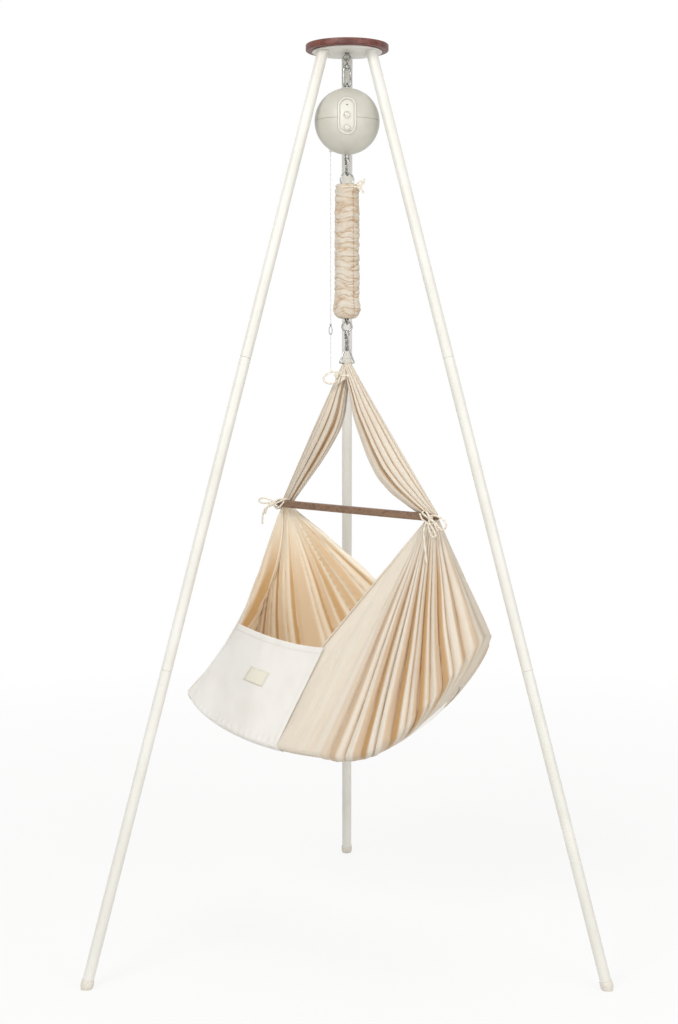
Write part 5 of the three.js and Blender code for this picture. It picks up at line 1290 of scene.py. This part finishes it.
def wallPoint(share, s):
    rim, outward, top, belly, fan = column(share)
    t = max(0, (s - folds["wrap"]) / (1 - folds["wrap"]))
    base = rim.lerp(top, t) + outward * (belly * 4 * t * (1 - t) + 1.4 * (1 - t))
    spoke, along, amount = spokeAt(share, s, base)
    out, valleyShade = foldAt(spoke, max(along, folds["wrap"]), fan)
    out, valleyShade = out * amount, valleyShade * amount
    if s < folds["wrap"]:
        part = s / folds["wrap"]
        low = seamReach(share)
        q = low + (1 - low) * part
        p = pocketPoint(share, q)
        bulge = (outward * (0.3 + 0.7 * part) - Vector((0, 0, 1 - part))).normalized()
        p += outward * 1.4 - Vector((0, 0, 2 * (1 - part)))
        p += bulge * (max(out, -2) * (0.12 + 0.88 * part ** 0.6))
        return p, valleyShade * (0.45 + 0.55 * part), noHem
    centre = headBunch if share < 0.25 else footBunch
    away = Vector((top.x - centre.x, top.y - centre.y, 0))
    direction = outward.lerp(away.normalized(), fan * t ** 3).normalized() if away.length > 1 else outward
    toHem = (1 - t) * (top - rim).length
    free = 1 - fan
    roll = free * (2.2 * bell(toHem, 5, 7) - 1.8 * bell(toHem, 4, 17))
    # painted shade along a crease that runs beside the hem
    hemCreaseShade = free * 0.85 * bell(toHem, 5, 17)
    valleyShade *= 1 - min(1, free * 2) * clampSmooth((20 - toHem) / 9)
    return base + direction * (out + roll), min(1, valleyShade + hemCreaseShade), toHem if fan < 0.6 else noHem


# A length of canvas whose inner side gets a lighter copy of the cloth with a glow: painted light.
def addCanvas(name, shape, stands=(), thickness=1.3):
    piece = addPiece(name, shape, "sling", "canvas", stands, slingFrame, None)
    thicken(piece, thickness, "insidePaintedLight")
    return piece


def makeWalls():
    low, high = shares["hemNear"] - 0.006, shares["panelLeft"] + 0.006

    def spot(u, v):
        return wallPoint(low + (high - low) * u, v - 0.12 * math.sin(2 * math.pi * v))

    return addCanvas("canvasWalls", clothSheet(640, 76, spot, (1.5, 0.5)), ["sling_canvas"])


# The floor: a pocket that hangs from the rim, rolled over the rim's edge.
def makeFloor():
    def spot(u, v):
        q = min(1, seamReach(u - 0.5) + 0.02) * (1 - (1 - v) ** 1.6)
        p = pocketPoint(u - 0.5, q)
        wrinkle = 1.1 * noiseAt(p.x / 46, p.y / 46, 5)
        wrinkle += 0.9 * puckers(u, 2.4, 0, (0, 0, 0), 1 - q, 0.02)
        # The floor cloth gets a little painted shade all over.
        return p + Vector((0, 0, wrinkle * min(1, q * 3))), 0.2, (1 - q) * 200

    return addCanvas("canvasFloor", clothSheet(360, 60, spot, (1.8, 0.2), closed=True))


# How wide a strap is at shares of its length, and where its creases run, in degrees round it.
strap = {
    "head": [
        (0, 26), (0.04, 30), (0.11, 43), (0.25, 65), (0.37, 74), (0.5, 70), (0.63, 61), (0.72, 54), (0.8, 43),
        (0.88, 31), (0.95, 22), (1, 15),
    ],
    "foot": [
        (0, 25), (0.04, 26), (0.11, 30), (0.25, 39), (0.37, 47), (0.5, 53), (0.63, 56), (0.72, 52), (0.8, 42),
        (0.88, 31), (0.95, 22), (1, 15),
    ],
    "headCreases": [-254, -226, -196, -166, -138, -110, -82, -54, -26, 0, 20, 54, 74, 92],
    "footCreases": [-203, -182, -160, -136, -108, -80, -50, -20, 14, 56, 82, 108, 140],
    "lobe": 0.26, "depthShare": 0.82, "fill": 0.93,
}


def tableAt(table, t):
    for (a, first), (b, second) in zip(table, table[1:]):
        if t <= b:
            return first + (second - first) * (t - a) / (b - a)
    return table[-1][1]


# A point of the axis, under the ring.
def apexSpot(drop):
    a, away = math.radians(sling["turn"]), -sling["place"][0]
    return Vector((away * math.cos(a), away * math.sin(a), sling["hang"] - drop))


# One upper length of the canvas, from the gather at the bar to the ring: a sheet folded round on itself with
# its opening towards the other length. Its outer edge runs straight and its inner one swells.
def makeStrap(name, start, widths, creases, seed):
    end = apexSpot(4)
    along = (end - start).normalized()
    inward = Vector((end.x - start.x, end.y - start.y, 0)).normalized()
    inward = (inward - along * inward.dot(along)).normalized()
    front = along.cross(inward)
    if front.y > 0:
        front.negate()
    run = (end - start).length

    def spot(u, t):
        wide = sum(tableAt(widths, t + step) for step in (-0.025, 0, 0.025)) / 3
        half = wide / 2 / strap["fill"]
        ends = (13 * (1 - t) + 8 * t) / strap["fill"]
        depth = half * (strap["depthShare"] + 0.5 * t ** 9 - 0.15 * (1 - t) ** 8)
        degrees = creases[0] + (creases[-1] - creases[0]) * u
        degrees += 7 * noiseAt(degrees / 40, t * 2.6, seed) * math.sin(math.pi * t)
        shut = 1 - clampSmooth(math.sin(math.pi * min(max(t, 0), 1)) * 2.2)
        degrees += max(0, degrees - 60) / (creases[-1] - 60) * 13 * shut
        i, _, x = foldPlace(creases, degrees, 0.25, seed, 2.1)
        swell = math.sin(math.pi * x)
        keen = 0.3 + 0.7 * math.sin(i * 1.7 + seed * 3) ** 2
        cut = (1 - swell ** 0.6) * strap["lobe"] * keen
        fine = 0.006 * noiseAt(degrees / 9, t * 7, seed)
        angle = math.radians(degrees)
        share = (1 - cut + fine) * (1 - 0.1 * clampSmooth((-178 - degrees) / 30))
        centre = start + along * run * t + inward * (half - ends) * 1.1
        p = centre + inward * -half * share * math.cos(angle) + front * depth * share * math.sin(angle)
        # painted shade in the valleys between the lobes
        return p, min(1, (1 - swell ** 0.65) * (0.4 + 0.8 * keen)), noHem

    return addCanvas(name, clothSheet(230, 120, spot, (0.3, 0.36)), (), 1.2)


# The canvas goes over the lower wire of the triangle.
def makeApexFold():
    top = apexSpot(0)
    bearing = math.radians(chain["triangleTurn"] + sling["turn"])
    along = Vector((math.cos(bearing), math.sin(bearing), 0))
    side = Vector((-along.y, along.x, 0))

    def spot(u, v):
        angle = 2 * math.pi * u
        down = 1 - v
        bow = math.sqrt(max(0, 1 - v ** 2.4))
        wide = (10.5 + 15 * down ** 1.3) * bow
        deep = (5.4 + 13 * down ** 1.3) * bow
        pleat = 1 - 0.26 * abs(math.sin(angle * 4.5 + 0.9 * down)) ** 7 * min(1, down * 1.6)
        p = top + Vector((0, 0, 5.6 - (42 + 8 * math.sin(angle * 2 + 1)) * down))
        p += along * wide * pleat * math.cos(angle) + side * deep * pleat * math.sin(angle)
        # painted shade in the pleats
        return p, (1 - pleat) * 3, noHem

    return addCanvas("apexFold", clothSheet(140, 48, spot, (0.12, 0.06), closed=True), (), 1.2)


# Front panel: white cloth that closes the low side and wraps under the rim.
panel = {
    "off": 2.4, "hug": 1.7, "wrap": 0.12, "spread": 0.024, "wrinkle": 1.6, "hem": 14,
    "labelShare": 0.636, "labelRise": 0.58, "labelWide": 0.033, "labelHigh": 0.155,
}


def panelSpot(share, t):
    rim, outward = column(share)[:2]
    part = (share - shares["panelLeft"]) / (1 + shares["hemNear"] - shares["panelLeft"])
    line = Vector(hem["panelLeft"]).lerp(Vector(hem["panelRight"]), part)
    line.z -= hem["panelSag"] * 4 * part * (1 - part)
    return rim.lerp(line, t) + outward * panel["off"], line


def makePanelCloth():
    end = 1 + shares["hemNear"] + 0.006

    def startAt(v):
        return shares["panelLeft"] - 0.004 - panel["spread"] * (1 - v) ** 1.2

    def spot(u, v):
        start = startAt(v)
        span = end - start
        share = start + span * u
        if v < panel["wrap"]:
            q = 1 - 0.09 * (1 - v / panel["wrap"])
            p = pocketPoint(share, q)
            outward = column(share)[1]
            under = clampSmooth((1 - q) / 0.02)
            p += outward * panel["off"] * (1 - under) + Vector((0, 0, -panel["off"] * under))
            # a little painted shade where the panel wraps under the rim
            return p, 0.1, noHem
        t = (v - panel["wrap"]) / (1 - panel["wrap"])
        p, line = panelSpot(share, t)
        rim, outward, top = column(share)[:3]
        wrapped = clampSmooth((shares["panelLeft"] + 0.004 - share) / 0.01) if u < 0.5 else 0
        if wrapped:
            rise = t * (line - rim).length / (top - rim).length
            onWall = wallPoint(share, folds["wrap"] + (1 - folds["wrap"]) * rise)[0]
            p = p.lerp(onWall + outward * panel["hug"], wrapped)
        soft = noiseAt(share * 26, t * 2.2, 1)
        soft += 0.5 * noiseAt(share * 70 + t * 3, t * 7, 4)
        pucker = puckers(share, 2.6, 3, (share * 40, 2, 0), t, 0.06)
        toHem = (1 - t) * (line - rim).length
        hemmed = 1 - clampSmooth((toHem - panel["hem"]) / 2)
        sideEdge = min(u, 1 - u) * span * folds["rimLength"]
        wrinkle = panel["wrinkle"] * soft * math.sin(math.pi * min(t * 1.2, 1)) ** 0.5
        p += outward * (wrinkle + pucker * 1.1 + hemmed * 0.8)
        # painted shade in the hollows of the soft wrinkles
        return p, max(0, 0.35 - soft * 0.5) * 0.6, min(toHem, sideEdge + 2)

    shape = clothSheet(190, 110, spot, (0.42, 0.28))
    stands = ["front_panel"]
    piece = addPiece("frontPanel", shape, "sling", "white", stands, slingFrame, None)
    thicken(piece, 1.2)

    def labelSpot(u, v):
        share = panel["labelShare"] + panel["labelWide"] * (u - 0.5)
        t = panel["labelRise"] + panel["labelHigh"] * (v - 0.5)
        v = panel["wrap"] + (1 - panel["wrap"]) * t
        p = spot((share - startAt(v)) / (end - startAt(v)), v)[0] + column(share)[1] * 1.3
        return p, 0, noHem

    shape = clothSheet(24, 12, labelSpot, (1, 1))
    label = addPiece("sewnLabel", shape, "sling", "label", ["sewn_label"], slingFrame, None)
    thicken(label, 0.8)


walls = makeWalls()
floorCloth = makeFloor()
headStrap = makeStrap("headStrap", headBunch, strap["head"], strap["headCreases"], 1.0)
footStrap = makeStrap("footStrap", footBunch, strap["foot"], strap["footCreases"], 2.7)
apexFold = makeApexFold()
makePanelCloth()
print("sling cloth made")


# Mattress

mattress = {
    "reach": 0.9, "headEnd": 250, "thickness": 32, "lift": 21, "voxel": 0.006, "pressure": 4, "frames": 20,
    "cap": 0.007,
}


def mattressShape():
    m = mattress

    def spot(u, v):
        angle = math.pi * v
        q = m["reach"] * math.sin(angle) ** 0.7 if 0 < v < 1 else 0
        p = outlineAt(u) * q
        p.x = min(p.x, m["headEnd"])
        side = math.copysign(abs(math.cos(angle)) ** 0.7, math.cos(angle))
        return Vector((p.x, p.y, pocketHeight(p, q) + m["lift"] - side * m["thickness"] / 2)), 0, noHem

    return clothSheet(120, 40, spot, (1.6, 0.6), closed=True)


# The padding: a cloth simulation under pressure, with no point let further out than the cap.
def puffUp(piece):
    m = mattress
    remesh = piece.modifiers.new("remesh", "REMESH")
    remesh.mode = "VOXEL"
    remesh.voxel_size = m["voxel"]
    depsgraph = bpy.context.evaluated_depsgraph_get()
    piece.data = bpy.data.meshes.new_from_object(piece.evaluated_get(depsgraph))
    piece.modifiers.clear()
    rest = [v.co.copy() for v in piece.data.vertices]
    cloth = piece.modifiers.new("cloth", "CLOTH")
    cloth.settings.use_pressure = True
    cloth.settings.uniform_pressure_force = m["pressure"]
    cloth.settings.effector_weights.gravity = 0
    for step in range(1, m["frames"] + 1):
        bpy.context.scene.frame_set(step)
    depsgraph = bpy.context.evaluated_depsgraph_get()
    puffed = bpy.data.meshes.new_from_object(piece.evaluated_get(depsgraph))
    piece.modifiers.clear()
    for vert, start in zip(puffed.vertices, rest):
        step = vert.co - start
        if step.length > m["cap"]:
            vert.co = start + step.normalized() * m["cap"]
    piece.data = puffed
    piece.data.shade_smooth()
    bpy.context.scene.frame_set(1)


def makeMattress():
    shape = mattressShape()
    piece = addPiece("mattressPad", shape, "sling", "pad", ["mattress"], slingFrame, None)
    puffUp(piece)
    if not piece.data.materials:
        piece.data.materials.append(finishes["pad"])
    smooth = piece.modifiers.new("smooth", "SUBSURF")
    smooth.levels = smooth.render_levels = 1


makeMattress()
print("mattress made")


# Spreader bar and the ties

def makeBar():
    size, edge = bar["size"], bar["edge"]
    shape = bmesh.new()
    bmesh.ops.create_cube(shape, size=1, matrix=Matrix.Diagonal((bar["length"], size, size, 1)))
    soften(shape, edge, 4, 60)
    profile = [(0, -2), (4.5, -2), (4.5, 1.5), (3.3, 3.2), (3.3, 5.2), (4.3, 6.6), (4.6, 8.5), (4.3, 10.8),
               (3.2, 12), (0, 12)]
    pegs = [moved(turnedShape(profile, 40, bar["length"] / 2), turn(90 * end, "Y")) for end in (-1, 1)]
    whole = together(shape, *pegs)
    lean = Matrix.Rotation(math.atan(bar["tilt"]), 4, "Y")
    moved(whole, lean, turn(bar["turn"]), shift(bar["x"], bar["y"], bar["rise"]))
    addPiece("spreaderBar", whole, "sling", "barWood", ["spreader_bar"], slingFrame)


# Ties. Each point of a bar tie is (along the bar to its end, out from its front, up), from the middle of
# the gather.

tie = {
    "radius": 2.1,
    "wrap": [
        (-15, 1, 7), (-8, 3, -3), (0, 3, -8), (10, -1, -12), (13, -18, -12), (8, -37, -5), (-6, -38, 4),
        (-14, -24, 9), (-12, -4, 10), (-4, 2, 6), (6, 3, 1), (14, 1, -6), (14, -14, -11), (4, -37, -8),
        (-8, -36, 3), (-8, -14, 11), (4, 0, 9), (13, 4, 3),
    ],
    "footBow": [
        (14, 5, 4), (22, 8, 8), (36, 10, 11), (50, 9, 9), (55, 8, 3), (46, 8, -1), (30, 8, 0), (18, 7, 1),
        (14, 6, -2), (24, 8, -7), (36, 9, -14), (42, 9, -26), (45, 8, -40), (46, 7, -50),
    ],
    "headBow": [
        (13, 5, 3), (24, 8, 7), (38, 10, 6), (52, 10, 0), (60, 10, -11), (54, 10, -21), (44, 10, -20),
        (34, 9, -11), (22, 8, -4), (14, 8, -5), (20, 10, -15), (30, 11, -27), (33, 11, -37), (25, 11, -38),
        (17, 10, -27), (12, 9, -13), (5, 9, -13), (2, 10, -34), (5, 9, -66), (9, 9, -98),
    ],
    "tail": [(14, 6, 0), (24, 9, -4), (33, 9, -17), (37, 8, -26)],
}


def cordShape(run):
    return wireShape(smoothRun(run, 8), tie["radius"], fineness=2)


# A small overhand knot, as a trefoil of cord.
def knotShape(centre, size, lean):
    run = []
    for i in range(48):
        a = 2 * math.pi * i / 48
        x, z = math.sin(a) + 1.1 * math.sin(2 * a), math.cos(a) - 1.1 * math.cos(2 * a)
        run.append(size * Vector((x, 0.75 * math.sin(3 * a), z)) * 0.62)
    knot = wireShape(run, tie["radius"], closed=True, fineness=2)
    return moved(knot, turn(lean, "Y"), shift(*centre))


def makeBarTies():
    front = 2 - bar["size"] / 2 - tie["radius"]
    for name, along, flip in (("head", bunch["headAlong"], 1), ("foot", bunch["footAlong"], -1)):
        def fromBar(run):
            return [barPoint(along + flip * outward, front - out, up) for outward, out, up in run]

        parts = [cordShape(fromBar(tie["wrap"] + tie[name + "Bow"])), cordShape(fromBar(tie["tail"]))]
        parts.append(knotShape(fromBar([(14, 4, 1)])[0], 3.4, 20))
        addPiece(f"{name}Tie", together(*parts), "sling", "cord", [f"{name}_tie"], slingFrame)


def ringRun(radius, fromTurn, toTurn, pitch):
    run = []
    for i in range(13):
        a = math.radians(fromTurn + (toTurn - fromTurn) * i / 12)
        run.append((radius * math.cos(a), radius * math.sin(a), pitch * (i / 12 - 0.5)))
    return run


def makeRoundTies():
    bow = [(-20, -12, 5), (-30, -15, 7), (-41, -16, 3), (-50, -16, -4), (-51, -16, -12), (-44, -16, -18),
           (-33, -15, -19), (-22, -12, -13)]
    shape = together(cordShape(ringRun(17.5, 215, 560, 4) + bow), knotShape(Vector((-23, -12, -2)), 3.6, 0))
    moved(shape, shift(0, 0, chain["triangleZ"] - 25.7))
    addPiece("apexTie", shape, "sling", "cord", ["apex_tie"])
    lead = [(38, -16, 17), (36, -18, 10), (31, -18, 4), (26, -16, 1)]
    tail = [(12, -22, 1), (20, -22, 0), (27, -20, -1), (33, -19, -6), (36, -18, -14)]
    loop = [(26, -17, 1), (33, -19, 7), (30, -20, 13), (24, -19, 9), (24, -17, 2)]
    shape = together(cordShape(lead + ringRun(22.2, -38, 290, 4) + tail), cordShape(loop),
                     knotShape(Vector((25.5, -17.5, 1)), 3.6, 40))
    moved(shape, shift(0, 0, sleeve["tieZ"]))
    addPiece("coverTie", shape, "hanger", "cord", ["cover_tie"])


makeBar()
makeBarTies()
makeRoundTies()
print("bar and ties made")


# Studio

studio = {
    "floor": (230, 229, 227), "floorSize": 30, "ambient": 0.58, "nearWhite": 0.82, "aim": (0, -0.15, 0.95),
    "cards": {"leftCard": (-2.3, -0.6, 1.5), "rightCard": (2.3, -0.6, 1.5)}, "card": (0.9, 3.0),
    "lamps": {
        "keyLamp": {"place": (-2.0, -3.4, 3.4), "size": 1.6, "power": 84},
        "fillLamp": {"place": (2.4, -3.2, 2.0), "size": 2.4, "power": 50},
        "topLamp": {"place": (0.2, 0.5, 4.2), "size": 2.2, "power": 34},
    },
}


def gridShape(steps, size):
    shape = bmesh.new()
    bmesh.ops.create_grid(shape, x_segments=steps, y_segments=steps, size=size)
    return shape


# 1 for what the camera sees by itself, in a mirror or through glass, and 0 for the light on the pieces.
def seenByCamera(f):
    direct, mirrored, through = (f.node("ShaderNodeLightPath", output=number) for number in (0, 3, 6))
    return f.maths("MAXIMUM", f.maths("MAXIMUM", direct, mirrored), through)


def makeFloorAndSky():
    material, f = newMaterial("paleFloor")
    seen = seenByCamera(f)
    far = f.node("ShaderNodeVectorMath", {"operation": "LENGTH"}, {0: f.place()}, 1)
    white = seen * f.span(far, 0.8, 3.2, studio["nearWhite"], 1)
    matte = f.node("ShaderNodeBsdfDiffuse", {}, {"Color": paint(*studio["floor"])})
    glow = f.node("ShaderNodeEmission", {}, {"Color": (1, 1, 1, 1), "Strength": 1})
    surface = f.node("ShaderNodeMixShader", {}, {0: white, 1: matte, 2: glow})
    f.node("ShaderNodeOutputMaterial", {}, {"Surface": surface})
    placed("studioFloor", gridShape(8, studio["floorSize"]), material)

    world = bpy.data.worlds.new("studio")
    world.use_nodes = True
    bpy.context.scene.world = world
    w = Finish(world.node_tree)
    strength = w.span(seenByCamera(w), 0, 1, studio["ambient"], 1)
    sky = w.node("ShaderNodeBackground", {}, {"Color": (1, 1, 1, 1), "Strength": strength})
    w.node("ShaderNodeOutputWorld", {}, {"Surface": sky})


def makeLamps():
    for name, lamp in studio["lamps"].items():
        data = bpy.data.lights.new(name, "AREA")
        data.size = lamp["size"]
        data.energy = lamp["power"]
        light = bpy.data.objects.new(name, data)
        light.location = lamp["place"]
        aim = Vector(lamp["place"]) - Vector(studio["aim"])
        light.rotation_euler = aim.to_track_quat("Z", "Y").to_euler()
        bpy.context.scene.collection.objects.link(light)


# Dark cards at both sides, out of the picture, which only the bright metal and plastic see.
def makeCards():
    material, f = newMaterial("darkCard")
    f.close({"Base Color": paint(20, 20, 20), "Roughness": 0.9})
    for name, place in studio["cards"].items():
        size = Matrix.Diagonal((*studio["card"], 1, 1))
        shape = moved(gridShape(2, 0.5), size, turn(90, "X"), turn(90), shift(*place))
        card = placed(name, shape, material)
        card.visible_diffuse = False
        card.visible_shadow = False
        card.visible_camera = False


makeFloorAndSky()
makeLamps()
makeCards()
print("studio made")
